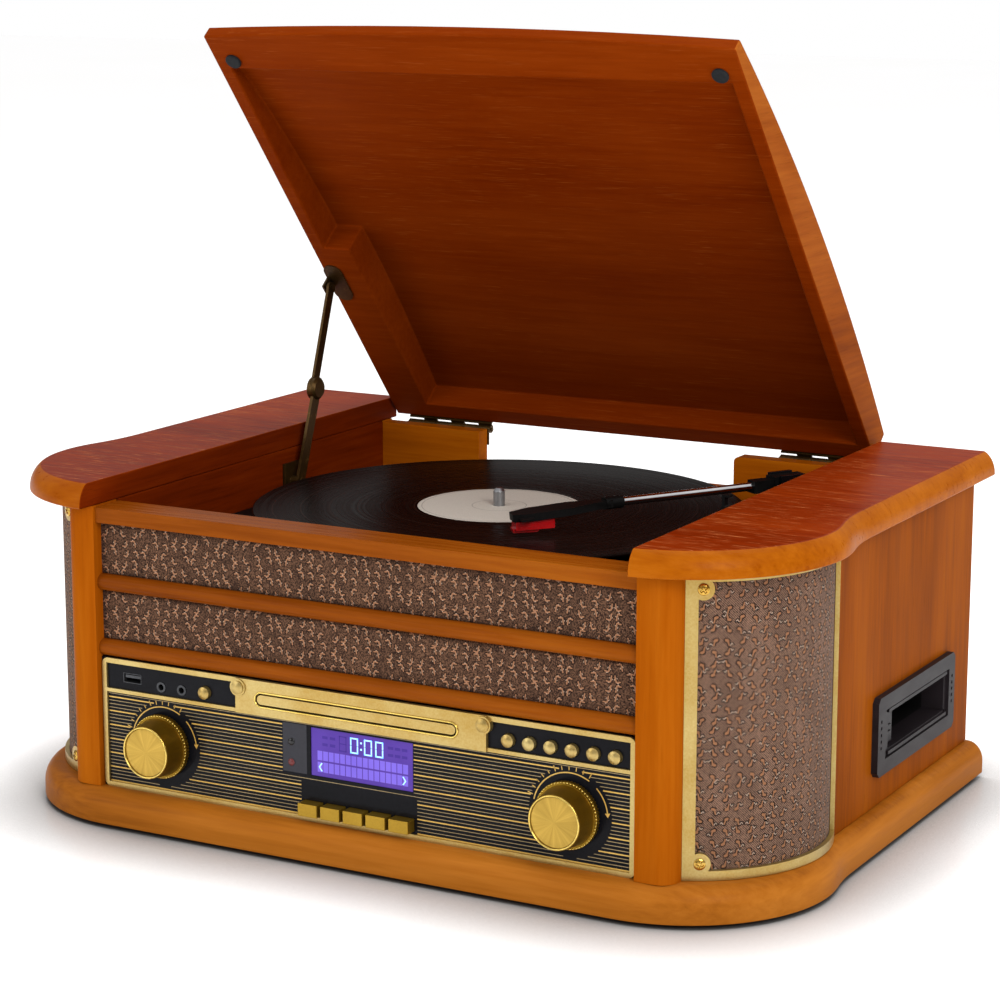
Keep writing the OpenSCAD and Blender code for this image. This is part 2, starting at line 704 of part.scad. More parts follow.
module fascia_panel() color("darkslategray") seat() difference() {
    block([-bay_x, panel_y, plinth_top], [bay_x, panel_back, fascia_top]);
    for (x = concat([function_x], round_xs())) button_hole(x, strip_mid);
    for (x = flat_xs())
        block([x - flat_btn_w / 2 - btn_gap, panel_y - 1, plinth_top + flat_btn_z - btn_gap],
            [x + flat_btn_w / 2 + btn_gap, panel_back + 1, plinth_top + flat_btn_z + flat_btn_h + btn_gap]);
    for (x = [volume_x, tuning_x]) rod_y(x, knob_axis_z, shaft_r + 1, panel_y - 1, panel_back + 1);
    block([display_x0, panel_y - 1, display_z0], [display_x0 + display_w, panel_back + 1, display_z0 + display_h]);
    stadium_y(-slot_w / 2, slot_w / 2, slot_z, slot_h, panel_y - 1, panel_back + 1);
    block([usb_x - usb_w / 2, panel_y - 1, strip_mid - usb_h / 2 + 1.5],
        [usb_x + usb_w / 2, panel_back + 1, strip_mid + usb_h / 2 + 1.5]);
    for (x = jack_xs) rod_y(x, strip_mid - 1, 3.2, panel_y - 1, panel_back + 1);
    for (z = lens_zs) rod_y(lens_x, z, lens_r, panel_y - 1, panel_back + 1);
}

module fascia_trim() color("gold") seat() difference() {
    union() {
        difference() {
            union() {
                block([-trim_x + trim_round, 0, plinth_top], [trim_x - trim_round, panel_y, fascia_top]);
                block([-trim_x, 0, plinth_top + trim_round], [trim_x, panel_y, fascia_top - trim_round]);
                for (x = [trim_round - trim_x, trim_x - trim_round],
                    z = [plinth_top + trim_round, fascia_top - trim_round])
                    rod_y(x, z, trim_round - eps, 0, panel_y);
            }
            block([-trim_x + trim_w, -1, plinth_top + trim_w], [trim_x - trim_w, panel_y + 1, fascia_top - trim_w]);
        }
        block([-trim_x, 0, bar_mid - bar_h / 2], [trim_x, panel_y, bar_mid + bar_h / 2]);
        block([slot_plate_x0, -1, bar_mid - bar_h / 2], [slot_plate_x1, panel_y, fascia_top]);
        // Round caps at the plate's upper corners, each on a boss with a stem
        for (x = [slot_plate_x0 + 2, slot_plate_x1 - 2]) {
            rod_y(x, fascia_top - cap_r - 1.6, cap_r + 1.2, -1.8, panel_y);
            intersection() {
                rod_y(x, fascia_top - cap_r - 1.6, cap_r, -6, 0);
                translate([x, 5.6, fascia_top - cap_r - 1.6]) sphere(r = 9);
            }
        }
    }
    stadium_y(-slot_w / 2, slot_w / 2, slot_z, slot_h, -2, panel_y + 1);
}

module display_window() color("mediumpurple") seat()
    block([display_x0, panel_y + 0.7, display_z0], [display_x0 + display_w, panel_y + 2.7, display_z0 + display_h]);

module front_sockets() color("gray") seat() {
    z = strip_mid + 1.5;
    difference() {
        block([usb_x - usb_w / 2, panel_y - 0.2, z - usb_h / 2], [usb_x + usb_w / 2, board_y, z + usb_h / 2]);
        block([usb_x - usb_w / 2 + 0.5, panel_y - 1, z - usb_h / 2 + 0.5],
            [usb_x + usb_w / 2 - 0.5, board_y - 1, z + usb_h / 2 - 0.5]);
    }
    block([usb_x - usb_w / 2 + 1, panel_y + 0.6, z], [usb_x + usb_w / 2 - 1, board_y - 0.5, z + 1.8]);
    for (x = jack_xs) difference() {
        rod_y(x, strip_mid - 1, 3.2, panel_y - 0.5, board_y);
        rod_y(x, strip_mid - 1, jack_r, panel_y - 1, board_y - 1);
    }
    for (z = lens_zs) rod_y(lens_x, z, lens_r, panel_y - 0.3, board_y);
}

module circuit_boards() color("seagreen") seat() {
    // Control board behind the panel, with the knobs' encoders, the display and the switches
    difference() {
        block([-bay_x + 8, board_y, plinth_top], [bay_x - 8, board_y + board_t, slot_z - slot_h / 2 - 8]);
        for (x = [volume_x, tuning_x]) rod_y(x, knob_axis_z, shaft_r + 0.3, board_y - 1, board_y + board_t + 1);
    }
    for (s = [-1, 1]) block([min(s * (slot_w / 2 + 8), s * (bay_x - 8)), board_y, slot_z - slot_h / 2 - 8],
        [max(s * (slot_w / 2 + 8), s * (bay_x - 8)), board_y + board_t, fascia_top - 3]);
    for (x = [volume_x, tuning_x]) difference() {
        block([x - 7, board_y + board_t, knob_axis_z - 7], [x + 7, board_y + board_t + 9, knob_axis_z + 7]);
        rod_y(x, knob_axis_z, shaft_r + 0.05, board_y, board_y + board_t + 8);
    }
    block([display_x0, panel_y + 2.7, display_z0], [display_x0 + display_w, board_y, display_z0 + display_h]);
    // Main board with the transformer, a heat sink and capacitors, on spacers
    block([-150, 186, plinth_top + 8], [90, 300, plinth_top + 8 + board_t]);
    for (x = [-140, 80], y = [196, 290]) translate([x, y, plinth_top]) cylinder(r = 3, h = 8 + eps);
    block([-140, 200, plinth_top + 8 + board_t], [-85, 250, plinth_top + 52]);
    for (i = [0:5]) block([-60 + i * 6, 210, plinth_top + 8 + board_t], [-58 + i * 6, 245, plinth_top + 38]);
    for (x = [20, 46]) translate([x, 230, plinth_top + 8 + board_t]) cylinder(r = 9, h = 24);
}

// ---- Knobs and buttons ----

function ring(r, n, depth) = [for (i = [0:2 * n - 1]) let (a = 180 * i / n, q = r - (i % 2) * depth)
    [q * cos(a), q * sin(a)]];

module knob(x) translate([x, panel_y - knob_gap, knob_axis_z]) rotate([90, 0, 0]) difference() {
    union() {
        linear_extrude(knob_skirt_t) polygon(ring(knob_skirt_r, knob_teeth, 0.7));
        cylinder(r1 = knob_skirt_r - 1.6, r2 = knob_face_r, h = knob_len, $fn = 96);
    }
    // The front face lies a little below its rim
    translate([0, 0, knob_len - 0.6]) cylinder(r = knob_face_r - 1.3, h = 2, $fn = 96);
    translate([0, 0, -1]) cylinder(r = shaft_r + 0.05, h = knob_len - 4);
    translate([0, 0, -1]) difference() {
        cylinder(r = knob_skirt_r - 3.5, h = knob_len - 5);
        translate([0, 0, -1]) cylinder(r = shaft_r + 3, h = knob_len);
    }
}

module knob_shaft(x)
    rod_y(x, knob_axis_z, shaft_r, panel_y - knob_gap - knob_len + 5.2, board_y + board_t + 5.5);

module volume_knob() color("goldenrod") seat() knob(volume_x);
module tuning_knob() color("goldenrod") seat() knob(tuning_x);
module volume_shaft() color("silver") seat() knob_shaft(volume_x);
module tuning_shaft() color("silver") seat() knob_shaft(tuning_x);

module round_button(x) {
    intersection() {
        rod_y(x, strip_mid, round_btn_r, panel_y - round_btn_out, panel_back + 0.5);
        translate([x, panel_y - round_btn_out + 7, strip_mid]) sphere(r = 7);
    }
    rod_y(x, strip_mid, round_btn_r, panel_y, panel_back + 0.5);
    rod_y(x, strip_mid, round_btn_r + 1, panel_back + 0.1, panel_back + 1.6);
    rod_y(x, strip_mid, 1.5, panel_back + 1, board_y - btn_travel - 0.3);
}

module flat_button(x) {
    z0 = plinth_top + flat_btn_z;
    block([x - flat_btn_w / 2, panel_y - flat_btn_out, z0], [x + flat_btn_w / 2, panel_back + 0.5, z0 + flat_btn_h]);
    block([x - flat_btn_w / 2, panel_back + 0.1, z0 - 1], [x + flat_btn_w / 2, panel_back + 1.6, z0 + flat_btn_h + 1]);
    block([x - 2, panel_back + 1, z0 + 2], [x + 2, board_y - btn_travel - 0.3, z0 + flat_btn_h - 2]);
}

module function_button() color("gold") seat() round_button(function_x);
module play_button() color("gold") seat() round_button(round_xs()[0]);
module stop_button() color("gold") seat() round_button(round_xs()[1]);
module back_button() color("gold") seat() round_button(round_xs()[2]);
module forward_button() color("gold") seat() round_button(round_xs()[3]);
module record_button() color("gold") seat() round_button(round_xs()[4]);
module open_button() color("gold") seat() round_button(round_xs()[5]);
module menu_button() color("gold") seat() flat_button(flat_xs()[0]);
module info_button() color("gold") seat() flat_button(flat_xs()[1]);
module scan_button() color("gold") seat() flat_button(flat_xs()[2]);
module preset_button() color("gold") seat() flat_button(flat_xs()[3]);
module enter_button() color("gold") seat() flat_button(flat_xs()[4]);

// ---- Disc player ----

tray_slide = 0.3;
module disc_mechanism() color("silver") seat() {
    y0 = board_y + board_t + 1;
    y1 = y0 + tray_len + 16;
    x = tray_w / 2 - 2 + tray_slide;
    z0 = slot_z - tray_h / 2 - tray_slide;
    z1 = slot_z + tray_h / 2 + tray_slide;
    difference() {
        block([-x - 4, y0, z0 - 4], [x + 4, y1, z1 + 4]);
        block([-x, y0 - 1, z0], [x, y1 - 3, z1]);
        // Windows in the floor and the roof, over the disc
        translate([0, y0 + 70, z0 - 5]) cylinder(r = 50, h = 6);
        translate([0, y0 + 70, z1 - 1]) cylinder(r = 50, h = 6);
    }
    // Four legs down to the plinth
    for (lx = [-x - 3, x - 1], ly = [y0 + 12, y1 - 18])
        block([lx, ly, plinth_top], [lx + 4, ly + 8, z0 - 4 + eps]);
}

module disc_tray() color("goldenrod") seat() difference() {
    union() {
        stadium_y(-tray_w / 2, tray_w / 2, slot_z, tray_h, tray_y0, 8);
        block([-tray_w / 2 + 2, 6, slot_z - tray_h / 2], [tray_w / 2 - 2, tray_len, slot_z + tray_h / 2]);
    }
    translate([0, 10 + disc_r, slot_z + tray_h / 2 - 1.8]) cylinder(r = disc_r, h = 5, $fn = 120);
    translate([0, 10 + disc_r, slot_z - 10]) cylinder(r = 19, h = 20);
    block([-19, 10 + disc_r, slot_z - 10], [19, tray_len - 8, slot_z + 10]);
}

// ---- Cassette slot ----

mouth_y = bezel_y + (bezel_w - mouth_w) / 2 + 3;
mouth_z = plinth_top + bezel_z + (bezel_h - mouth_h) / 2;
module cassette_bezel() color("dimgray") seat() {
    z0 = plinth_top + bezel_z;
    y1 = bezel_y + bezel_w;
    z1 = z0 + bezel_h;
    difference() {
        union() {
            // Chamfered outer border
            translate([side_x, 0, 0]) rotate([90, 0, 90]) linear_extrude(bezel_out)
                polygon([[bezel_y + 3, z0], [y1 - 3, z0], [y1, z0 + 3], [y1, z1 - 3], [y1 - 3, z1],
                    [bezel_y + 3, z1], [bezel_y, z1 - 3], [bezel_y, z0 + 3]]);
            block([side_in, bezel_y + 9, z0 + 9], [side_x + 1, y1 - 9, z1 - 9]);
        }
        // Stepped hollow, and the mouth that goes right through
        block([side_x + bezel_out - 2, bezel_y + 12, z0 + 9], [side_x + bezel_out + 1, y1 - 10, z1 - 9]);
        block([side_in - 1, mouth_y, mouth_z], [side_x + bezel_out + 1, mouth_y + mouth_w, mouth_z + mouth_h]);
        for (y = [bezel_y + 15, y1 - 13], z = [z0 + 12, z1 - 12])
            rod_x(y, z, 1.6, side_x + 1, side_x + bezel_out + 1);
        // Finger grips at the two ends
        for (i = [0:4]) for (y = [bezel_y + 4, y1 - 6])
            block([side_x + bezel_out - 0.8, y, z0 + 16 + i * 4], [side_x + bezel_out + 1, y + 2, z0 + 18 + i * 4]);
    }
    // A raised lip along the mouth
    for (z = [mouth_z - 3, mouth_z + mouth_h + 1])
        block([side_x + bezel_out - 2, mouth_y - 2, z], [side_x + bezel_out - 0.6, mouth_y + mouth_w + 2, z + 2]);
}

module cassette_mechanism() color("slategray") seat() {
    x0 = side_in - tape_depth;
    y0 = mouth_y + key_w + 4;
    y1 = mouth_y + mouth_w;
    difference() {
        block([x0, y0 - 2, mouth_z - 8], [side_in, y1 + 3, mouth_z + mouth_h + 3]);
        block([x0 + 3, y0, mouth_z], [side_in + 1, y1, mouth_z + mouth_h]);
    }
    // Reel spindles and the tape head
    for (x = [x0 + 34, x0 + 76.5]) translate([x, (y0 + y1) / 2, mouth_z - 2]) cylinder(r = 4, h = 5);
    block([x0 + 46, y1 - 9, mouth_z - 1], [x0 + 64, y1 + 1, mouth_z + 9]);
}

module eject_key() color("gray") seat() {
    y0 = mouth_y + 1;
    block([side_in - 8, y0, mouth_z + 1], [side_x - 1, y0 + key_w, mouth_z + mouth_h - 1]);
    for (z = [mouth_z + 7, mouth_z + 11]) block([side_x - 1.5, y0 + 3, z], [side_x - 0.2, y0 + key_w - 3, z + 1.4]);
}

// ---- Turntable ----

module deck_plate() color("dimgray") seat() difference() {
    block([-bay_x, top_rail_back, deck_z - deck_t], [bay_x, back_in, deck_z]);
    translate([pulley_x, pulley_y, deck_z - deck_t - 1]) cylinder(r = pulley_r + 2, h = deck_t + 2);
    translate([spindle_x, spindle_y, deck_z - deck_t - 1]) cylinder(r = 5.05, h = deck_t + 2);
}

bearing_r = 5;
module platter() color("dimgray") seat() translate([spindle_x, spindle_y, 0]) {
    mat_t = 2.5;
    web_t = 3;
    top = platter_z + platter_h;
    rotate_extrude($fn = 120) polygon([[0, deck_z - 14], [bearing_r - 0.03, deck_z - 14], [bearing_r - 0.03, platter_z],
        [drum_r - 3, platter_z], [drum_r, platter_z], [drum_r, platter_z + drum_h],
        [drum_r, top - mat_t - web_t], [platter_r - 4, top - mat_t - web_t], [platter_r - 4, platter_z],
        [platter_r, platter_z], [platter_r, top - mat_t], [platter_r - 3, top - mat_t],
        [platter_r - 3, top], [spindle_r + 6, top], [spindle_r + 6, top - 0.6],
        [spindle_r, top - 0.6], [spindle_r, record_top + spindle_up - 2],
        [spindle_r - 1.6, record_top + spindle_up], [0, record_top + spindle_up]]);
}

module vinyl_record() color("black") seat() translate([spindle_x, spindle_y, record_z])
    rotate_extrude($fn = 180) polygon([[spindle_r + 0.1, 0], [record_r - 0.8, 0], [record_r, record_t / 2],
        [record_r - 0.8, record_t], [record_r - 3, record_t], [record_r - 4, record_t - 0.15],
        [label_r + 1, record_t - 0.15], [label_r, record_t], [spindle_r + 0.1, record_t]]);

module drive_motor() color("silver") seat() translate([pulley_x, pulley_y, 0]) difference() {
    union() {
        translate([0, 0, deck_z - deck_t - 26]) cylinder(r = 16, h = 26);
        translate([0, 0, deck_z - deck_t - 30]) cylinder(r = 6, h = 5);
    }
    translate([0, 0, deck_z - deck_t - 18]) cylinder(r = 1.05, h = 20);
}

module motor_pulley() color("goldenrod") seat() translate([pulley_x, pulley_y, 0]) {
    translate([0, 0, deck_z - deck_t - 16]) cylinder(r = 1, h = 20);
    translate([0, 0, deck_z - deck_t + 0.6]) cylinder(r = pulley_r, h = platter_z + belt_h + 1 - deck_z + deck_t);
}

// Plan of the belt, grown by g round the drum and the pulley
module belt_plan(g) {
    turn = acos((drum_r - pulley_r) / pulley_reach);
    R = drum_r + g;
    r = pulley_r + g;
    circle(r = R, $fn = 120);
    translate([pulley_reach, 0]) circle(r = r);
    polygon([[0, 0], [R * cos(turn), -R * sin(turn)], [pulley_reach + r * cos(turn), -r * sin(turn)],
        [pulley_reach + r * cos(turn), r * sin(turn)], [R * cos(turn), R * sin(turn)]]);
}

module drive_belt() color("black") seat() translate([spindle_x, spindle_y, belt_z]) rotate([0, 0, pulley_a])
    linear_extrude(belt_h) difference() {
        belt_plan(belt_gap + belt_t);
        belt_plan(belt_gap);
    }

// ---- Tonearm ----

turret_z = deck_z + 12;
turret_h = 8;
// The rest's post ends just below the tube, and its stop stands beside the parked tube
rest_top = arm_z - tube_r - 0.6;
stop_x = pivot_x + tube_r + 0.8 + 105 * sin(arm_swing - rest_turn);
module arm_base() color("dimgray") seat() {
    // Pedestal with the bore that the turret turns in
    difference() {
        union() {
            translate([pivot_x, pivot_y, deck_z]) cylinder(r = arm_base_r + 1.5, h = 4);
            translate([pivot_x, pivot_y, deck_z]) cylinder(r = arm_base_r, h = turret_z - deck_z - 0.3);
        }
        translate([pivot_x, pivot_y, deck_z + 2]) cylinder(r = 4.05, h = 30);
    }
    // Rest for the tube
    translate([pivot_x, rest_y, deck_z]) cylinder(r = 6.5, h = 3);
    translate([pivot_x, rest_y, deck_z]) cylinder(r = 4, h = rest_top - deck_z);
    block([pivot_x, rest_y - 3, rest_top - 5], [stop_x + 2.4, rest_y + 3, rest_top]);
    difference() {
        block([stop_x, rest_y - 3, rest_top - 5], [stop_x + 2.4, rest_y + 3, arm_z + 4]);
        rod_y(stop_x + 1.2, arm_z + 4.4, 1.7, rest_y - 4, rest_y + 4);
    }
}

// Runs along the arm at rest: +Y of the children points from the stylus to the pivot
module along_arm() translate([pivot_x, pivot_y, arm_z]) rotate([0, 0, -arm_swing]) children();

yoke_in = 5.2;
module arm_turret() color("black") seat() {
    translate([pivot_x, pivot_y, deck_z + 3]) cylinder(r = 4, h = turret_z - deck_z);
    translate([pivot_x, pivot_y, turret_z]) cylinder(r = arm_base_r - 1, h = turret_h);
    along_arm() difference() {
        z0 = turret_z + turret_h - arm_z - 1;
        for (s = [-1, 1])
            block([s > 0 ? yoke_in : -yoke_in - 2.4, -9, z0], [s > 0 ? yoke_in + 2.4 : -yoke_in, 7.5, 6]);
        rotate([0, 90, 0]) translate([0, 0, -20]) cylinder(r = 1.55, h = 40);
    }
}

// Plan of the headshell, from the tube's end forwards
module shell_plan(g = 0) polygon([[-3.5 - g, 2], [3.5 + g, 2], [5 + g, -10], [9 + g, -24], [9 + g, -shell_len + 6],
    [5 + g, -shell_len - 5], [-5 - g, -shell_len - 5], [-9 - g, -shell_len + 6], [-9 - g, -24], [-5 - g, -10]]);

module tonearm() color("silver") seat() along_arm() {
    // Pivot block with its cross pin, and a short weight behind it
    block([-4.8, -12, -5], [4.8, 11, 5]);
    rotate([0, 90, 0]) translate([0, 0, -yoke_in - 2.2]) cylinder(r = 1.5, h = 2 * yoke_in + 4.4);
    block([-5.5, 11 - eps, -6], [5.5, 24, -1.5]);
    block([-4, -26, -4], [4, -12 + eps, 3.6]);
    rotate([90, 0, 0]) cylinder(r = tube_r, h = arm_tube + 4);
    // Collar, then the headshell, turned in towards the spindle and sloped down
    translate([0, -arm_tube + 9, 0]) rotate([90, 0, 0]) cylinder(r = tube_r + 1.2, h = 12);
    translate([0, -arm_tube, 0]) rotate([0, 0, -shell_turn]) rotate([shell_slope, 0, 0]) {
        translate([0, 0, -2.2]) linear_extrude(4.4) shell_plan();
        // Finger lift at the outer side
        block([9 - eps, -shell_len - 2, -0.6], [15, -shell_len + 6, 0.6]);
    }
}

module stylus_cartridge() color("crimson") seat() along_arm()
    translate([0, -arm_tube, 0]) rotate([0, 0, -shell_turn]) {
        // Body below the headshell, then the red stylus holder and its tip
        top = -tan(shell_slope) * (shell_len - 20) - 2.4;
        tip = record_top - arm_z + 0.15;
        low = -tan(shell_slope) * (shell_len + 3) - 2.4;
        translate([-6.5, 0, 0]) rotate([90, 0, 90]) linear_extrude(13)
            polygon([[-shell_len + 20, top - 0.1], [-shell_len + 20, tip + 4], [-shell_len - 3, tip + 3],
                [-shell_len - 3, low - 0.1]]);
        translate([-3.5, 0, 0]) rotate([90, 0, 90]) linear_extrude(7)
            polygon([[-shell_len + 14, tip + 4.2], [-shell_len + 10, tip + 1.4], [-shell_len - 4, tip + 1.2],
                [-shell_len - 4.5, tip + 3.6]]);
        translate([0, -shell_len, tip]) cylinder(r1 = 0.3, r2 = 1, h = 2, $fn = 24);
    }

module arm_clip() color("black") seat() translate([stop_x + 1.2, rest_y, arm_z + 4.4]) {
    // A small hook that swings over the parked tube; here it is open
    rod_y(0, 0, 1.4, -3, 3);
    block([-0.8, -2.5, 0], [0.8, 2.5, 7.6]);
    block([-0.8, -2.5, 6.2], [3.6, 2.5, 7.6]);
}

// ---- Lid ----

module crown(r, x) translate([-x, crown_c[0], crown_c[1]]) rotate([0, 90, 0]) cylinder(r = r, h = 2 * x, $fn = 720);

module lid_panel() color("peru") seat() on_lid() difference() {
    intersection() {
        block([-lid_x, lid_front, lid_z], [lid_x, lid_back, lid_z + 60]);
        crown(crown_r, lid_x + 5);
        translate([0, lid_front + bow_r, lid_z - 5]) cylinder(r = bow_r, h = 90, $fn = 720);
    }
    // Hollow underside, with the wider rail for the stay at the back left
    intersection() {
        union() {
            block([-lid_x + lid_side_rail, lid_back - lid_len + lid_front_rail, lid_z - 1],
                [lid_x - lid_side_rail, lid_back - lid_step, lid_z + 60]);
            block([-lid_x + lid_stay_rail, lid_back - lid_step - 1, lid_z - 1],
                [lid_x - lid_side_rail, lid_back - lid_back_rail, lid_z + 60]);
        }
        crown(crown_r - lid_skin, lid_x + 5);
    }
}

module lid_pads() color("darkslategray") seat() on_lid() both()
    translate([lid_x - 14, lid_corner + pad_in, lid_z - pad_h]) cylinder(r = pad_r, h = pad_h);

// Knuckles of one hinge: which is 0 for the cabinet's and 1 for the lid's
knuckle_n = 6;
knuckle_w = hinge_w / knuckle_n;
hinge_xs = [hinge_left - hinge_w / 2, hinge_right - hinge_w / 2];
function knuckle_x0(x, i) = x + i * knuckle_w + 0.15;
function knuckle_x1(x, i) = x + (i + 1) * knuckle_w - 0.15;

module cabinet_hinges() color("darkgoldenrod") seat() for (x = hinge_xs) {
    block([x, cab_d, rail_top - leaf_d], [x + hinge_w, cab_d + leaf_t, rail_top]);
    for (i = [0, 2, 4]) {
        block([knuckle_x0(x, i), cab_d, pin_z - leaf_t / 2], [knuckle_x1(x, i), pin_y, pin_z + leaf_t / 2]);
        rod_x(pin_y, pin_z, knuckle_r, knuckle_x0(x, i), knuckle_x1(x, i));
    }
    rod_x(pin_y, pin_z, pin_r, x - 0.8, x + hinge_w + 0.8);
}

module lid_hinges() color("darkgoldenrod") seat() on_lid() for (x = hinge_xs) difference() {
    union() {
        block([x, lid_back, lid_z - leaf_t], [x + hinge_w, lid_back + leaf_t, lid_z + leaf_d]);
        for (i = [1, 3, 5]) {
            block([knuckle_x0(x, i), lid_back, lid_z - leaf_t], [knuckle_x1(x, i), pin_y + 1, lid_z]);
            block([knuckle_x0(x, i), pin_y - 1, pin_z], [knuckle_x1(x, i), pin_y + 1, lid_z]);
            rod_x(pin_y, pin_z, knuckle_r, knuckle_x0(x, i), knuckle_x1(x, i));
        }
    }
    rod_x(pin_y, pin_z, pin_r + pin_gap, x - 1, x + hinge_w + 1);
}

// ---- Lid stay ----

// A flat link of width w from p to the knee at q in the YZ plane, round at each end and with a hole at p
module link(x, p, q, w, hole) {
    v = q - p;
    len = norm(v);
    translate([x, p[0], p[1]]) rotate([atan2(v[1], v[0]), 0, 0]) difference() {
        union() {
            translate([0, 0, -w / 2]) cube([link_t, len, w]);
            rotate([0, 90, 0]) cylinder(r = w / 2 + 0.6, h = link_t);
            translate([0, len, 0]) rotate([0, 90, 0]) cylinder(r = knee_r, h = link_t);
        }
        rotate([0, 90, 0]) translate([0, 0, -1]) cylinder(r = hole, h = link_t + 2);
    }
}

stay_hole = stay_pin_r + 0.05;
module stay_foot_plate() color("darkgoldenrod") seat() {
    block([-bay_x, stay_foot[0] - 9, stay_foot[1] - 8], [-bay_x + 2, stay_foot[0] + 9, stay_foot[1] + 12]);
    rod_x(stay_foot[0], stay_foot[1], stay_pin_r, -bay_x + 1, stay_x + 2 * link_t + 1.4);
    rod_x(stay_foot[0], stay_foot[1], stay_pin_r + 1.4, stay_x + 2 * link_t + 0.5, stay_x + 2 * link_t + 1.5);
    rod_x(stay_foot[0], stay_foot[1], stay_pin_r + 1.4, -bay_x + 1, stay_x + link_t - 0.1);
}

module stay_lower_link() color("darkgoldenrod") seat() {
    link(stay_x + link_t + 0.2, stay_foot, stay_knee, link_low_w, stay_hole);
    // The knee's domed cap
    translate([stay_x + 2 * link_t + 0.1, stay_knee[0], stay_knee[1]]) rotate([0, 90, 0])
        cylinder(r1 = knee_r, r2 = knee_r - 1.6, h = 1.6);
}

module stay_upper_link() color("darkgoldenrod") seat()
    link(stay_x, stay_top, stay_knee, link_w, stay_hole);

module stay_lid_plate() color("darkgoldenrod") seat() on_lid() {
    y = stay_lid[0];
    z = stay_lid[1];
    block([-lid_x + 0.5, y - 9.5, lid_z - 1], [-lid_x + 14, y + 9.5, lid_z]);
    for (end = [y - 9.5, y + 9.5]) translate([-lid_x + 7.25, end, lid_z - 1]) cylinder(r = 6.75 - eps, h = 1);
    block([-lid_x + 0.5, y - 5, z - 3.5], [-lid_x + 1.8, y + 5, lid_z - 1 + eps]);
    rod_x(y, z, stay_pin_r, -lid_x + 1, stay_x + link_t + 0.1);
}

// ---- Nodes ----

base_plinth();
rubber_feet();
side_panels();
front_posts();
top_wings();
front_rails();
front_cloth_board();
well_walls();
back_panel();
rear_sockets();
speaker_baffles();
speaker_cloths();
speaker_frames();
frame_screws();
loudspeakers();
fascia_panel();
fascia_trim();
display_window();
front_sockets();
circuit_boards();
disc_mechanism();
cassette_bezel();
cassette_mechanism();
deck_plate();
drive_motor();
drive_belt();
arm_base();
cabinet_hinges();
stay_foot_plate();
lid_panel();
lid_pads();
lid_hinges();
stay_lid_plate();
stay_upper_link();
stay_lower_link();
disc_tray();
eject_key();
platter();
vinyl_record();
motor_pulley();
arm_turret();
tonearm();
stylus_cartridge();
arm_clip();
volume_shaft();
volume_knob();
tuning_shaft();
tuning_knob();
function_button();
play_button();
stop_button();
back_button();
forward_button();
record_button();
open_button();
menu_button();
info_button();
scan_button();
preset_button();
enter_button();
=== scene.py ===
"""Dresses the packed music centre: materials, cloths, prints and small detail.

Everything is in metres in the packed model's frame. Sizes are written in millimetres in the
cabinet's own coordinates, as in the model's source: x across, y from the front of the control
panel's gold trim to the back, z up from the floor. mm() turns them into the frame.
"""

import json
import math

import bmesh
import bpy
from bpy.props import FloatProperty, FloatVectorProperty, PointerProperty
from mathutils import Matrix, Vector

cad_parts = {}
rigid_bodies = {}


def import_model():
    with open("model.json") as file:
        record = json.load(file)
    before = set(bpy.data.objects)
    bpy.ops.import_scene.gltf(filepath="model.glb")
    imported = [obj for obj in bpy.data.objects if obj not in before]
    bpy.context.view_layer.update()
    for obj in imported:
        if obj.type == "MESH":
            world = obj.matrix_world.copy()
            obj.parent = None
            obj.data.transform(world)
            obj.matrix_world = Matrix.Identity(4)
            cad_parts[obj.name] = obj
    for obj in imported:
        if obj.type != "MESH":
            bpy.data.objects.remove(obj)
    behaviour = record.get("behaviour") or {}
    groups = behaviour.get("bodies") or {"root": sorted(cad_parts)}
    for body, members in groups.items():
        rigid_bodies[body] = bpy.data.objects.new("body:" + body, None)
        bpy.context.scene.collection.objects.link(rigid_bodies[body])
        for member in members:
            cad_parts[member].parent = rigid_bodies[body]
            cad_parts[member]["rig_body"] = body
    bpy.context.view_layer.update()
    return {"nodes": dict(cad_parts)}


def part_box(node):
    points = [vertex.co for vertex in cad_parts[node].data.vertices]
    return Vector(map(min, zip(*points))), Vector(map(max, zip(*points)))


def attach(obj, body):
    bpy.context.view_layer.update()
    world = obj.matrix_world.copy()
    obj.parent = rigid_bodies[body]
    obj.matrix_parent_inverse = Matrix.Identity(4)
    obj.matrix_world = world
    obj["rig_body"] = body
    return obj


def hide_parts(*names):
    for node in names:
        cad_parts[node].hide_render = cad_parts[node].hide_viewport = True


bl_info = {
    "name": "Wooden music centre",
    "version": (1, 0, 0),
    "blender": (4, 5, 0),
    "location": "3D Viewport > Sidebar > Music centre",
    "description": "Builds the visual pieces and materials of a wooden music centre",
    "category": "Object",
}

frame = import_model()

# How far the black panel and the display's glass lie behind the front of the gold trim
PANEL_Y, GLASS_Y = 1.5, 2.2
ORIGIN_Y = GLASS_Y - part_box("display_window")[0].y * 1000
PLINTH_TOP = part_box("side_panels")[0].z * 1000
# Half the width of the bay between the posts, and the centres and heights of the knobs
BAY_X = 177.0
KNOBS = {"volume": -133.0, "tuning": 136.0}
KNOB_Z = PLINTH_TOP + 30.6
# The curve of a speaker's front: its centre, its ends in degrees, and the cloth's and frame's radii
CORNER_X, CURVE_CY = 167.5, 85.6
CURVE_A0, CURVE_A1 = -67.27, 23.41
CLOTH_R, FRAME_R = 79.4, 82.3
# The tonearm's pivot, and how many degrees the arm is turned from straight ahead
ARM_PIVOT, ARM_TURN = (153.5, 251.0), 32.0


# ---- Helpers ----


def mm(x, y, z):
    """A point in cabinet millimetres as a point of the frame."""
    return Vector((x / 1000, (y - ORIGIN_Y) / 1000, z / 1000))


def srgb(text):
    """#rrggbb as a linear colour."""
    c = [int(text[i : i + 2], 16) / 255 for i in (1, 3, 5)]
    return (*(v / 12.92 if v <= 0.04045 else ((v + 0.055) / 1.055) ** 2.4 for v in c), 1.0)


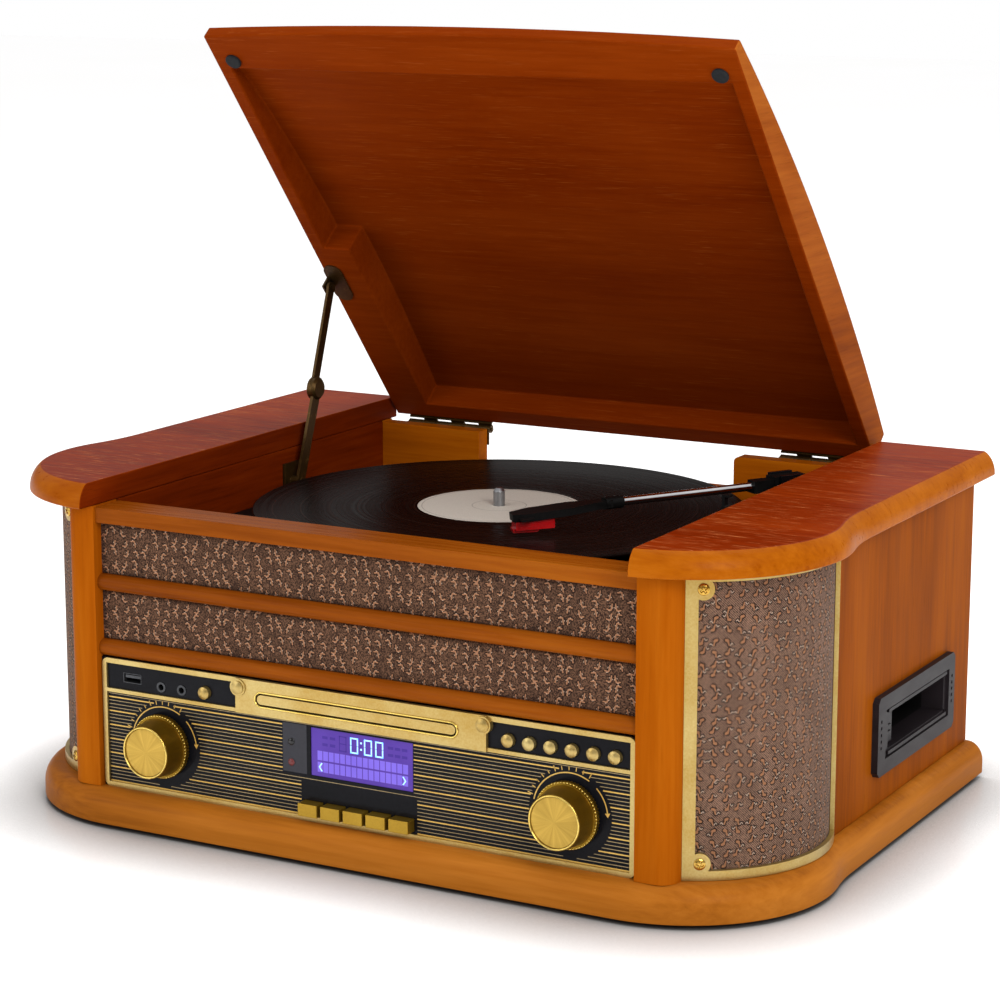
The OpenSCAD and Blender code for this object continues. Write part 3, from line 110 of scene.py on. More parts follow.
def make(name, bm, material, body, smooth=0, origin=None):
    """Turns a bmesh into a piece that rides on a body.

    Edges sharper than smooth degrees stay sharp, and all do at 0. origin, in the frame, becomes
    the piece's own.
    """
    bmesh.ops.recalc_face_normals(bm, faces=bm.faces)
    mesh = bpy.data.meshes.new(name)
    bm.to_mesh(mesh)
    bm.free()
    mesh.materials.append(material)
    if smooth:
        mesh.shade_smooth()
        mesh.set_sharp_from_angle(angle=math.radians(smooth))
    if origin is not None:
        mesh.transform(Matrix.Translation(-origin))
    obj = bpy.data.objects.new(name, mesh)
    bpy.context.scene.collection.objects.link(obj)
    if origin is not None:
        obj.location = origin
    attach(obj, body)
    return obj


def dressed(node, material, width, segments=2, other=None, pick=None):
    """A copy of a CAD node with arrises rounded by width, in millimetres, which stands for the node.

    pick gets a face's middle in cabinet millimetres and tells whether it takes the other material.
    """
    src = frame["nodes"][node]
    sharp = math.radians(30)
    bm = bmesh.new()
    bm.from_mesh(src.data)
    bmesh.ops.remove_doubles(bm, verts=bm.verts, dist=2e-6)
    bmesh.ops.dissolve_limit(bm, angle_limit=math.radians(0.4), verts=bm.verts, edges=bm.edges)
    for face in bm.faces:
        c = face.calc_center_median() * 1000
        face.material_index = int(bool(pick and pick(c.x, c.y + ORIGIN_Y, c.z)))
    mesh = bpy.data.meshes.new(node + "_dressed")
    bm.to_mesh(mesh)
    bm.free()
    for attribute in [a for a in mesh.attributes if a.name == "custom_normal"]:
        mesh.attributes.remove(attribute)
    for m in (material, other) if other else (material,):
        mesh.materials.append(m)
    mesh.shade_smooth()
    mesh.set_sharp_from_angle(angle=sharp)
    obj = bpy.data.objects.new(mesh.name, mesh)
    bpy.context.scene.collection.objects.link(obj)
    arris = obj.modifiers.new("Arris", "BEVEL")
    arris.width, arris.segments = width / 1000, segments
    arris.limit_method, arris.angle_limit = "ANGLE", sharp
    arris.use_clamp_overlap = arris.harden_normals = True
    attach(obj, src["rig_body"])
    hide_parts(node)


def paint(node, material):
    """Gives a CAD node that stays its material."""
    mesh = frame["nodes"][node].data
    if not mesh.materials:
        mesh.materials.append(material)
    for i in range(len(mesh.materials)):
        mesh.materials[i] = material


def add_face(bm, points):
    """A face through points of the frame."""
    bm.faces.new([bm.verts.new(p) for p in points])


def add_lathe(bm, profile, matrix, turns, loop=False):
    """Spins (radius, height) pairs in millimetres about the matrix's Z axis.

    With loop the profile's last point joins its first.
    """
    rows = []
    for r, h in profile:
        if r < 1e-6:
            rows.append([bm.verts.new(matrix @ Vector((0, 0, h / 1000)))])
            continue
        rows.append([
            bm.verts.new(matrix @ Vector((r / 1000 * math.cos(a), r / 1000 * math.sin(a), h / 1000)))
            for a in (2 * math.pi * i / turns for i in range(turns))
        ])
    pairs = list(zip(rows, rows[1:]))
    if loop:
        pairs.append((rows[-1], rows[0]))
    for lower, upper in pairs:
        for i in range(turns):
            j = (i + 1) % turns
            ring = [row[k % len(row)] for row, k in ((lower, i), (lower, j), (upper, j), (upper, i))]
            corners = [v for k, v in enumerate(ring) if v not in ring[:k]]
            if len(corners) > 2:
                bm.faces.new(corners)


def add_grid(nu, nv, point, size):
    """A mesh of nu by nv faces, with point(i, j) at its corners and a map of that size in metres."""
    bm = bmesh.new()
    layer = bm.loops.layers.uv.new("UVMap")
    rows = [[bm.verts.new(point(i, j)) for i in range(nu + 1)] for j in range(nv + 1)]
    for j in range(nv):
        for i in range(nu):
            face = bm.faces.new([rows[j][i], rows[j][i + 1], rows[j + 1][i + 1], rows[j + 1][i]])
            for loop, (a, b) in zip(face.loops, ((i, j), (i + 1, j), (i + 1, j + 1), (i, j + 1))):
                loop[layer].uv = (size[0] * a / nu, size[1] * b / nv)
    return bm


def on_panel(x, z, out=0.05):
    """A point just in front of the control panel's black face."""
    return mm(x, PANEL_Y - out, z)


def add_patch(bm, x0, z0, x1, z1, at=on_panel):
    """A printed rectangle between two corners; at turns x and z into a point of the frame."""
    add_face(bm, [at(x0, z0), at(x1, z0), at(x1, z1), at(x0, z1)])


def round_about(x, z, r, a):
    """The x and z of a point at radius r and angle a, in radians, about another."""
    return x + r * math.cos(a), z + r * math.sin(a)


def facing(x, y, z):
    """A matrix at a point in millimetres whose Z axis comes out of the control panel."""
    return Matrix.Translation(mm(x, y, z)) @ Matrix.Rotation(math.pi / 2, 4, "X")


# ---- Materials ----


class Shader:
    """A material's node tree with short calls for its nodes."""

    def __init__(self, name):
        old = bpy.data.materials.get(name)
        if old:
            bpy.data.materials.remove(old)
        self.material = bpy.data.materials.new(name)
        self.material.use_nodes = True
        self.tree = self.material.node_tree
        self.tree.nodes.clear()

    def add(self, kind, inputs=None, out=0, **props):
        """Adds a node, sets or links its inputs and returns one of its outputs."""
        node = self.tree.nodes.new("ShaderNode" + kind)
        for k, v in props.items():
            setattr(node, k, v)
        for k, v in (inputs or {}).items():
            if isinstance(v, bpy.types.NodeSocket):
                self.tree.links.new(v, node.inputs[k])
            else:
                node.inputs[k].default_value = v
        return node.outputs[out] if len(node.outputs) else None

    def math(self, op, a, b=0.0, clamp=False):
        """A sum of numbers."""
        return self.add("Math", {0: a, 1: b}, operation=op, use_clamp=clamp)

    def vec(self, op, a, b=(0, 0, 0), out=0):
        """A sum of vectors; out is 1 where it gives a number."""
        return self.add("VectorMath", {0: a, 1: b}, out, operation=op)

    def scaled(self, vector, scale):
        """The vector times a number, or times three."""
        if not isinstance(scale, tuple):
            scale = (scale, scale, scale)
        return self.add("Mapping", {"Vector": vector, "Scale": scale})

    def noise(self, vector, scale, detail, rough=0.55, distortion=0.0):
        """Noise from 0 to 1 over a scaled vector."""
        return self.add("TexNoise", {"Vector": self.scaled(vector, scale), "Scale": 1.0, "Detail": detail,
                                     "Roughness": rough, "Distortion": distortion})

    def span(self, value, a, b, lo=0.0, hi=1.0):
        """Maps value from a..b to lo..hi, clamped."""
        limits = {"From Min": a, "From Max": b, "To Min": lo, "To Max": hi}
        return self.add("MapRange", {"Value": value, **limits}, clamp=True)

    def mix(self, factor, a, b):
        """A colour between a and b."""
        node = self.tree.nodes.new("ShaderNodeMix")
        node.data_type = "RGBA"
        for k, v in ((0, factor), (6, a), (7, b)):
            if isinstance(v, bpy.types.NodeSocket):
                self.tree.links.new(v, node.inputs[k])
            else:
                node.inputs[k].default_value = v
        return node.outputs[2]

    def ramp(self, value, stops):
        """Colours for a value, from pairs of place and colour."""
        node = self.tree.nodes.new("ShaderNodeValToRGB")
        self.tree.links.new(value, node.inputs[0])
        points = node.color_ramp.elements
        while len(points) < len(stops):
            points.new(0.5)
        for point, (place, colour) in zip(points, stops):
            point.position, point.color = place, colour
        return node.outputs[0]

    def bump(self, height, strength, distance):
        """A bump; distance is in millimetres."""
        return self.add("Bump", {"Height": height, "Strength": strength, "Distance": distance / 1000})

    def finish(self, **inputs):
        """Ends the tree with the main shader. Underscores in the names stand for spaces."""
        shader = self.add("BsdfPrincipled", {k.replace("_", " "): v for k, v in inputs.items()})
        self.add("OutputMaterial", {"Surface": shader})
        return self.material


def wood(name, tones, axis, figure=1.0, rough=(0.32, 0.46), pores=0.35, pore_tone=None, spec=0.006,
         edge=None, turn=False, clouds=0.16, *, shine):
    """Stained, lacquered wood.

    tones run from dark to light, and axis is the grain's direction. edge holds the tones of the
    faces that don't look up. With turn the grain follows a moulding round to the sides. shine
    scales the lacquer's reflection, spec.
    """
    s = Shader(name)
    place = s.add("TexCoord", out=3)
    normal = s.add("TexCoord", out=1)
    along, across = 0.055, 1.0
    size = {"X": (along, across, across), "Y": (across, along, across), "Z": (across, across, along)}

    def streaks(k, detail, distortion, stretch=1.0):
        """Noise drawn out along the grain."""
        def one(ax):
            vec = tuple(k * v * (stretch if v < 1 else 1) for v in size[ax])
            return s.noise(place, vec, detail, 0.6, distortion)
        if not turn:
            return one(axis)
        side = s.span(s.math("ABSOLUTE", s.add("SeparateXYZ", {0: normal})), 0.6, 0.8)
        return s.mix(side, one(axis), one("Y"))

    broad = streaks(16 * figure, 2.0, 0.6, 3.0)
    fine = streaks(260, 3.0, 0.2)
    hair = streaks(1250, 2.0, 0.0, 0.7)
    value = s.math("ADD", s.math("MULTIPLY", broad, 0.62), s.math("MULTIPLY", fine, 0.38))
    cloud = s.span(s.noise(place, 9, 2.0), 0.35, 0.65)

    def stained(tones):
        """The stain's colour, with darker clouds."""
        n = len(tones) - 1
        colour = s.ramp(value, [(0.32 + 0.36 * i / n, srgb(t)) for i, t in enumerate(tones)])
        return s.mix(s.span(cloud, 0, 1, 0.0, clouds), colour, srgb(tones[0]))

    colour = stained(tones)
    # A pale pore_tone, as on the wings, paints glints of light in the pores.
    pore = s.math("MULTIPLY", s.span(hair, 0.6, 0.7), s.span(cloud, 0, 1, 0.35, 1.0))
    dark = srgb(pore_tone) if pore_tone else tuple(c * 0.35 for c in srgb(tones[0])[:3]) + (1,)
    colour = s.mix(s.math("MULTIPLY", pore, pores), colour, dark)
    if edge:
        flat = s.span(s.vec("DOT_PRODUCT", normal, (0, 0, 1), 1), 0.9, 0.965)
        colour = s.mix(flat, stained(edge), colour)
    height = s.math("SUBTRACT", s.math("MULTIPLY", fine, 0.35), pore)
    gloss = s.math("ADD", s.span(fine, 0.3, 0.7, *rough), s.math("MULTIPLY", pore, 0.2))
    return s.finish(Base_Color=colour, Roughness=gloss, Normal=s.bump(height, 0.2, 0.2),
                    Specular_IOR_Level=spec * shine)


def metal(name, light, dark, rough=(0.24, 0.4), metallic=0.9, fleck=900, grain=0.12, wear_and_glint=None):
    """Painted, plated or bare metal with fine flecks and slight stains."""
    s = Shader(name)
    place = s.add("TexCoord", out=3)
    stain = s.noise(place, 26, 4.0)
    speck = s.noise(place, fleck, 2.0)
    value = s.math("ADD", s.math("MULTIPLY", stain, 0.7), s.math("MULTIPLY", speck, 0.3))
    colour = s.mix(s.span(value, 0.35, 0.65), srgb(dark), srgb(light))
    # Lighter scuffs of the wear tone, which on the brass also paint its glints of light.
    if wear_and_glint:
        scuff_and_glint = s.span(s.noise(place, 120, 6.0, 0.75), 0.58, 0.72)
        colour = s.mix(s.math("MULTIPLY", scuff_and_glint, 0.6), colour, srgb(wear_and_glint))
    return s.finish(Base_Color=colour, Metallic=metallic, Roughness=s.span(value, 0.3, 0.7, *rough),
                    Normal=s.bump(speck, grain, 0.08))


def plastic(name, light, dark, rough=(0.3, 0.5), grain=0.1, size=700, coat=0.0, bump=0.1, spec=0.3):
    """Moulded plastic or rubber with a fine grain, dust and slight smears."""
    s = Shader(name)
    place = s.add("TexCoord", out=3)
    grains = s.noise(place, size, 3.0)
    smear = s.noise(place, (22, 22, 60), 4.0, 0.6, 0.4)
    value = s.math("ADD", s.math("MULTIPLY", smear, 0.6), s.math("MULTIPLY", grains, 0.4))
    colour = s.mix(s.span(value, 0.35, 0.65), srgb(dark), srgb(light))
    return s.finish(Base_Color=colour, Roughness=s.span(smear, 0.3, 0.7, *rough), Specular_IOR_Level=spec,
                    Normal=s.bump(grains, grain, bump), Coat_Weight=coat, Coat_Roughness=0.06)


def jacquard(name, tones, strokes, loops, pitch, width, twill, speck):
    """Woven cloth with small motifs of short threads, on the piece's own map in metres.

    tones are those of the ground, its thread, the motif, its loops and its outline. strokes and
    loops are lines of the motif in millimetres, each with half its width. pitch is the motifs'
    distance in metres, width the outline's and twill the weave's in millimetres. speck is the
    share of single dark and light threads.
    """
    ground, thread, motif, loop, outline = (srgb(t) for t in tones)
    s = Shader(name)
    uv = s.add("TexCoord", out=2)
    # The motifs step from thread to thread
    step = 0.00036
    snapped = s.vec("SNAP", uv, (step, step, step))
    where = s.scaled(snapped, (1 / pitch[0], 1 / pitch[1], 1))
    cell = s.tree.nodes.new("ShaderNodeTexVoronoi")
    cell.voronoi_dimensions, cell.feature = "2D", "F1"
    cell.inputs["Scale"].default_value = 1.0
    cell.inputs["Randomness"].default_value = 0.5
    s.tree.links.new(where, cell.inputs["Vector"])
    local = s.vec("SUBTRACT", where, cell.outputs["Position"])
    local = s.vec("MULTIPLY", local, (1000 * pitch[0], 1000 * pitch[1], 0))
    # Each motif is turned over at random
    rgb = s.add("SeparateColor", {0: cell.outputs["Color"]}).node
    flip = s.add("CombineXYZ", {0: s.math("SIGN", s.math("SUBTRACT", rgb.outputs[0], 0.35)),
                                1: s.math("SIGN", s.math("SUBTRACT", rgb.outputs[1], 0.4)), 2: 1.0})
    local = s.vec("MULTIPLY", local, flip)

    def distance(lines):
        """How far it is to the nearest of the lines, in millimetres."""
        best = None
        for a, b, wide in lines:
            ba = Vector((b[0] - a[0], b[1] - a[1], 0))
            pa = s.vec("SUBTRACT", local, (*a, 0))
            share = s.vec("DOT_PRODUCT", pa, tuple(ba), 1)
            share = s.math("MULTIPLY", share, 1 / ba.length_squared, clamp=True)
            along = s.add("VectorMath", {0: tuple(ba), "Scale": share}, operation="SCALE")
            d = s.math("SUBTRACT", s.vec("LENGTH", s.vec("SUBTRACT", pa, along), out=1), wide)
            best = d if best is None else s.math("MINIMUM", best, d)
        return best

    ink, pale = distance(strokes), distance(loops)
    both = s.math("MINIMUM", ink, pale)
    u, v = s.add("SeparateXYZ", {0: uv}).node.outputs[:2]
    k = 2000 * math.pi / twill
    wave = s.math("SINE", s.math("MULTIPLY", s.math("ADD", u, v), k))
    cross = s.math("SUBTRACT", u, s.math("MULTIPLY", v, 0.45))
    cross = s.math("SINE", s.math("MULTIPLY", cross, k * 1.7))
    weave = s.math("ADD", s.math("MULTIPLY", wave, 0.72), s.math("MULTIPLY", cross, 0.28))
    knot = 0.0006
    grain = s.add("TexWhiteNoise", {"Vector": s.vec("SNAP", uv, (knot, knot, knot))}, noise_dimensions="2D")
    fuzz = s.noise(uv, (2600, 2600, 1), 2.0)
    knots = s.math("MULTIPLY", s.math("SUBTRACT", grain, 0.5), speck * 2)
    value = s.math("ADD", s.math("MULTIPLY", weave, 1.0 - 0.5 * speck), knots)
    cloth = s.mix(s.span(value, -0.8, 0.8), ground, thread)
    drift = s.noise(uv, (60, 30, 1), 3.0)
    cloth = s.mix(s.span(drift, 0.35, 0.65, 0.0, 0.3), cloth, ground)
    broken = s.span(s.noise(snapped, (700, 700, 1), 1.0), 0.36, 0.46)
    edge = s.math("MULTIPLY", s.span(both, width * 1.3, width * 0.8), broken)
    cloth = s.mix(edge, cloth, outline)
    cloth = s.mix(s.span(pale, 0.1, -0.1), cloth, loop)
    body = s.span(ink, 0.1, -0.1)
    colour = s.mix(body, cloth, s.mix(s.span(fuzz, 0.35, 0.65, 0.0, 0.4), motif, ground))
    height = s.math("ADD", s.math("MULTIPLY", weave, 0.5), body)
    return s.finish(Base_Color=colour, Roughness=s.span(fuzz, 0.3, 0.7, 0.75, 0.92), Specular_IOR_Level=0.1,
                    Normal=s.bump(height, 0.5, 0.22), Sheen_Weight=0.05, Sheen_Roughness=0.4)


def spun_metal(name, light, dark):
    """Metal brushed from its middle outwards, in a face across Y. The piece's own origin is the middle."""
    s = Shader(name)
    place = s.add("SeparateXYZ", {0: s.add("TexCoord", out=3)}).node
    angle = s.math("ARCTAN2", place.outputs[2], place.outputs[0])
    # Fine noise round the face draws the brush lines; broad noise paints wide wedges of highlight and shade.
    fine, broad = (s.noise(s.add("CombineXYZ", {0: s.math("MULTIPLY", angle, k)}), 1.0, 4.0, 0.7)
                   for k in (90.0, 3.0))
    brush_and_sheen = s.math("ADD", s.math("MULTIPLY", fine, 0.5), s.math("MULTIPLY", broad, 0.5))
    colour = s.mix(s.span(brush_and_sheen, 0.3, 0.7), srgb(dark), srgb(light))
    tangent = s.add("Tangent", direction_type="RADIAL", axis="Y")
    return s.finish(Base_Color=colour, Metallic=0.95, Roughness=0.3, Anisotropic=0.75, Tangent=tangent,
                    Normal=s.bump(brush_and_sheen, 0.05, 0.05))


def vinyl(name):
    """Pressed grooves and bands on a record whose own origin is its middle."""
    s = Shader(name)
    flat = s.vec("MULTIPLY", s.add("TexCoord", out=3), (1, 1, 0))
    radius = s.math("MULTIPLY", s.vec("LENGTH", flat, out=1), 1000)
    band = s.noise(s.add("CombineXYZ", {0: radius}), 0.33, 1.0, 0.4)
    groove = s.math("SINE", s.math("MULTIPLY", radius, 2 * math.pi / 0.55))
    # Smooth rings between the pieces of music, without grooves and painted lighter as a painted sheen
    ring = s.math("FRACT", s.math("DIVIDE", radius, 17.3))
    gap = s.span(s.math("ABSOLUTE", s.math("SUBTRACT", ring, 0.5)), 0.472, 0.49)
    # Lighter and darker bands and the lighter rings are painted sheen on the black vinyl.
    colour = s.mix(s.span(band, 0.35, 0.65), srgb("#0c0605"), srgb("#170c09"))
    colour = s.mix(gap, colour, srgb("#241511"))
    dust = s.span(s.noise(s.add("TexCoord", out=3), 900, 2.0), 0.7, 0.8)
    colour = s.mix(s.math("MULTIPLY", dust, 0.12), colour, srgb("#6b5a50"))
    tangent = s.add("Tangent", direction_type="RADIAL", axis="Z")
    cut = s.math("MULTIPLY", groove, s.math("SUBTRACT", 1.0, gap))
    return s.finish(Base_Color=colour, Roughness=s.span(band, 0.3, 0.7, 0.2, 0.34), Anisotropic=0.55,
                    Tangent=tangent, Normal=s.bump(cut, 0.12, 0.05), Specular_IOR_Level=0.02)


def paper(name, light, dark):
    """Matt printed paper of a label, with rings about its own origin."""
    s = Shader(name)
    place = s.add("TexCoord", out=3)
    radius = s.math("MULTIPLY", s.vec("LENGTH", s.vec("MULTIPLY", place, (1, 1, 0)), out=1), 1000)
    fibre = s.noise(place, 1500, 3.0)
    colour = s.mix(s.span(fibre, 0.35, 0.65), srgb(dark), srgb(light))
    for r in (47.3, 16.6):
        ring = s.span(s.math("ABSOLUTE", s.math("SUBTRACT", radius, r)), 0.35, 0.2)
        colour = s.mix(s.math("MULTIPLY", ring, 0.55), colour, srgb("#6f6a66"))
    return s.finish(Base_Color=colour, Roughness=0.62, Specular_IOR_Level=0.2,
                    Normal=s.bump(fibre, 0.15, 0.05))


def glow(name, light, dark, strength):
    """A lit part of the display."""
    s = Shader(name)
    place = s.add("TexCoord", out=3)
    cloud = s.noise(place, (30, 30, 22), 2.0)
    colour = s.mix(s.span(cloud, 0.3, 0.7), srgb(dark), srgb(light))
    return s.finish(Base_Color=colour, Roughness=0.12, Specular_IOR_Level=0.1, Emission_Color=colour,
                    Emission_Strength=strength)


MATERIALS = {}


def build_materials(look):
    """Makes every material."""
    m = MATERIALS
    m.clear()

    def timber(*args, **options):
        """Wood with the look's lacquer."""
        return wood(*args, shine=look.gloss, **options)

    m["honey"] = timber("honey_wood", ["#703405", "#8e470a", "#9e5510"], "Z", pores=0.25)
    m["post"] = timber("post_wood", ["#883f04", "#9c4e06", "#aa5c0e"], "Z", 0.8, pores=0.1)
    m["rail"] = timber("rail_wood", ["#6e3204", "#88440a", "#9a5410"], "X", 0.9, (0.22, 0.32), pores=0.15,
                       spec=0.03)
    m["plinth"] = timber("plinth_wood", ["#864a10", "#a4601a", "#b67026"], "X", 0.8, pores=0.12, turn=True,
                         spec=0.03)
    # The wing's pale pore tone paints glints of light along the pores of its top.
    m["wing"] = timber("wing_wood", ["#661a02", "#802805", "#96380a"], "X", 0.9, (0.26, 0.36), pores=0.8,
                       pore_tone="#d88850", spec=0.03, edge=["#883e02", "#a05406", "#b26412"])
    m["lid"] = timber("lid_wood", ["#661f01", "#762a02", "#843406"], "X", 0.7, (0.36, 0.48), pores=0.5,
                      pore_tone="#964c1e", clouds=0.3)
    m["lid_edge"] = timber("lid_edge_wood", ["#74340c", "#904814", "#a65c20"], "Y", 1.0, pores=0.3)
    m["well"] = timber("well_wood", ["#501602", "#702403", "#863406"], "Y", 1.0)
    m["back"] = timber("back_wood", ["#8a4002", "#a85606", "#ba680e"], "X", 0.8, pores=0.1)
    m["inner"] = timber("inner_board", ["#8a6a48", "#a5855f", "#bb9d78"], "Z", 1.4, (0.6, 0.75))
    m["gold"] = metal("gold_paint", look_hex(look.gold), "#a48440", (0.28, 0.36), 0.8)
    m["gold_dark"] = metal("gold_paint_dark", "#ad8a2c", "#957420", (0.3, 0.4), 0.8)
    m["bead"] = metal("gold_bead", "#e6cc74", "#cfae50", (0.18, 0.26), 0.9, 600, 0.05)
    m["knob"] = metal("knob_gold", "#8e6f1c", "#745610", (0.28, 0.36), 0.85, 1400, 0.08)
    # The knob face's two tones carry its painted highlight and shade.
    m["knob_face"] = spun_metal("knob_face_gold", "#ccaa52", "#7c5e20")
    m["line_gold"] = metal("print_gold", "#dcb45c", "#c49a44", (0.4, 0.5), 0.2)
    m["line_silver"] = metal("print_silver", "#ac966c", "#8c7850", (0.4, 0.5), 0.2)
    m["panel"] = plastic("panel_plastic", "#17171b", "#101013", (0.14, 0.24), 0.05, 500, spec=0.06)
    m["plate"] = plastic("plate_plastic", "#2c2c34", "#24242b", (0.4, 0.5), 0.1, 500)
    m["black"] = plastic("black_plastic", "#141313", "#0b0a0a", (0.36, 0.5), 0.12, spec=0.08)
    m["gloss_black"] = plastic("gloss_black_plastic", "#0f0e10", "#08080a", (0.1, 0.18), 0.04, 600, 0.3)
    m["rubber"] = plastic("rubber", "#26282a", "#18191b", (0.6, 0.75), 0.25, 900, spec=0.1)
    m["bezel"] = plastic("bezel_plastic", "#241e21", "#191517", (0.4, 0.52), 0.35, 1500, bump=0.06, spec=0.15)
    # The brass's lighter wear tone also paints its glints of light.
    m["brass"] = metal("antique_brass", "#57401c", "#38260e", (0.34, 0.52), 0.8, 500, 0.25, "#8a6c34")
    m["chrome"] = metal("chrome", "#e8e8ea", "#cfd0d4", (0.05, 0.1), 1.0, 300, 0.02)
    m["steel"] = metal("steel", "#a9aaad", "#87888c", (0.3, 0.45), 0.95, 300, 0.1)
    m["gunmetal"] = metal("gunmetal", "#47484b", "#2e2f31", (0.25, 0.4), 0.8, 400)
    m["screw"] = metal("screw_brass", "#d8b45c", "#b08838", (0.16, 0.28), 0.95, 400, 0.1)
    m["board"] = plastic("board_green", "#1f5a34", "#174527", (0.35, 0.5), 0.1)
    m["red"] = plastic("red_plastic", "#c00c12", "#94060a", (0.12, 0.2), 0.03, 300, 0.2)
    m["dim_red"] = plastic("dim_red_plastic", "#6d2a2a", "#4a1a1b", (0.2, 0.3), 0.03, 300, 0.2)
    m["vinyl"] = vinyl("record_vinyl")
    m["label"] = paper("label_paper", "#d2ccc2", "#c2bbb0")
    m["lcd"] = glow("display_light", "#4f3790", "#432c80", 0.5)
    m["lcd_cell"] = glow("display_cell", "#6f5cc0", "#6350b4", 0.6)
    m["lcd_ghost"] = glow("display_ghost", "#3f2a80", "#382474", 0.5)
    m["lcd_on"] = glow("display_figure", "#9fcdf5", "#8cc0f0", 1.0)
    m["speaker_cloth"] = jacquard(
        "speaker_jacquard", ("#0b0505", "#9c7a66", "#9c6e4e", "#b09c8c", "#050202"),
        strokes=[((-1.8, -1.3), (-0.9, -1.0), 0.8), ((-0.8, -0.9), (-0.2, 1.5), 0.42)],
        loops=[((0.5, 1.7), (1.1, 0.7), 0.2), ((1.4, 0.5), (2.1, 1.2), 0.2)],
        pitch=(0.0072, 0.0062), width=0.6, twill=1.3, speck=0.35)
    m["front_cloth"] = jacquard(
        "front_jacquard", ("#180c0b", "#74543f", "#ac7c5c", "#c8ac96", "#060202"),
        strokes=[((-2.0, 1.2), (0.1, 1.6), 0.42), ((0.4, 1.4), (1.1, -1.9), 0.42)],
        loops=[((-0.9, 2.0), (-0.4, 2.1), 0.16), ((1.3, 0.4), (1.6, -0.1), 0.16),
               ((-0.2, -0.4), (0.0, -1.0), 0.16)],
        pitch=(0.0072, 0.0060), width=0.5, twill=0.9, speck=0.9)


def look_hex(colour):
    """A panel colour, as the hex text that the materials start from."""
    def code(v):
        """One channel as two digits."""
        v = v * 12.92 if v <= 0.0031308 else 1.055 * v ** (1 / 2.4) - 0.055
        return f"{round(max(0.0, min(1.0, v)) * 255):02x}"
    return "#" + "".join(code(v) for v in colour[:3])


# ---- Pieces ----


def build_cabinet(look):
    """Dresses the boards, and paints what stays inside."""
    m, w = MATERIALS, look.arris
    dressed("base_plinth", m["plinth"], w, 3)
    dressed("side_panels", m["honey"], w)
    dressed("front_posts", m["post"], w, 3)
    dressed("top_wings", m["wing"], w * 1.4, 3, other=m["well"],
            pick=lambda x, y, z: abs(x) < BAY_X + 1)
    dressed("front_rails", m["rail"], w * 1.6, 3)
    dressed("well_walls", m["well"], w)
    dressed("back_panel", m["back"], w)
    paint("speaker_baffles", m["inner"])
    paint("front_cloth_board", m["black"])
    dressed("rubber_feet", m["rubber"], 0.8)
    dressed("deck_plate", m["black"], 0.3)
    for node, material in (("loudspeakers", "black"), ("cassette_mechanism", "black"),
                           ("disc_mechanism", "steel"), ("circuit_boards", "board"), ("drive_motor", "steel"),
                           ("drive_belt", "rubber"), ("motor_pulley", "brass")):
        paint(node, m[material])


def curved_point(angle, radius, z, side):
    """A point of a speaker front; angle in degrees about the curve's centre."""
    a = math.radians(angle)
    return mm(side * (CORNER_X + radius * math.cos(a)), CURVE_CY + radius * math.sin(a), z)


def build_speaker_cloths(look):
    """One stretched sheet over each curved baffle."""
    z0, z1 = (corner.z * 1000 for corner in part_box("speaker_cloths"))
    nu, nv = 96, 60
    sweep = CURVE_A1 - CURVE_A0
    arc = math.radians(sweep) * CLOTH_R
    for name, side in (("left", -1), ("right", 1)):
        def point(i, j):
            return curved_point(CURVE_A0 + sweep * i / nu, CLOTH_R, z0 + (z1 - z0) * j / nv, side)

        bm = add_grid(nu, nv, point, (side * arc / 1000, (z1 - z0) / 1000))
        cloth = make("speaker_cloth_" + name, bm, MATERIALS["speaker_cloth"], "cabinet", 60)
        thick = cloth.modifiers.new("Thickness", "SOLIDIFY")
        thick.thickness, thick.offset = 0.0006, -1
        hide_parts("speaker_cloths")


def build_front_cloth(look):
    """Two strips of cloth between the rails."""
    y, gap = 4.4, 0.1
    # The middles of the two half-round rails, and half a rail's height
    rails, half = (PLINTH_TOP + 84.5, PLINTH_TOP + 124.0), 5.2
    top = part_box("front_cloth_board")[1].z * 1000
    nu, nv = 90, 9
    x0, x1 = -BAY_X + gap, BAY_X - gap
    for name, z0, z1 in (("lower", rails[0] + half, rails[1] - half), ("upper", rails[1] + half, top - gap)):
        def point(i, j):
            # The cloth is pulled back a little at its edges
            v = abs(2 * j / nv - 1)
            return mm(x0 + (x1 - x0) * i / nu, y + 0.25 * v**4, z0 + (z1 - z0) * j / nv)

        bm = add_grid(nu, nv, point, ((x1 - x0) / 1000, (z1 - z0) / 1000))
        cloth = make("front_cloth_" + name, bm, MATERIALS["front_cloth"], "cabinet", 60)
        thick = cloth.modifiers.new("Thickness", "SOLIDIFY")
        thick.thickness, thick.offset = 0.0003, 1


def build_frames(look):
    """The gold speaker frames and their cross-headed screws."""
    dressed("speaker_frames", MATERIALS["gold"], 0.45, 2)
    lo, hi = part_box("speaker_frames")
    # The screws sit 9.6 mm along the frame from its inner end, and each is turned its own way
    angle = CURVE_A0 + 9.6 * 180 / (math.pi * FRAME_R)
    a = math.radians(angle)
    bm = bmesh.new()
    for side in (-1, 1):
        out = Vector((side * math.cos(a), math.sin(a), 0))
        across = Vector((-math.sin(a) * side, math.cos(a), 0))
        turn = Matrix((across, Vector((0, 0, 1)), out)).transposed().to_4x4()
        for z in (lo.z * 1000 + 9.4, hi.z * 1000 - 8.8):
            base = Matrix.Translation(curved_point(angle, FRAME_R, z, side))
            add_cross_screw(bm, base @ turn @ Matrix.Rotation(0.5 + z, 4, "Z"))
    screws = make("speaker_frame_screws", bm, MATERIALS["screw"], "cabinet", 40)
    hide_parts("frame_screws")


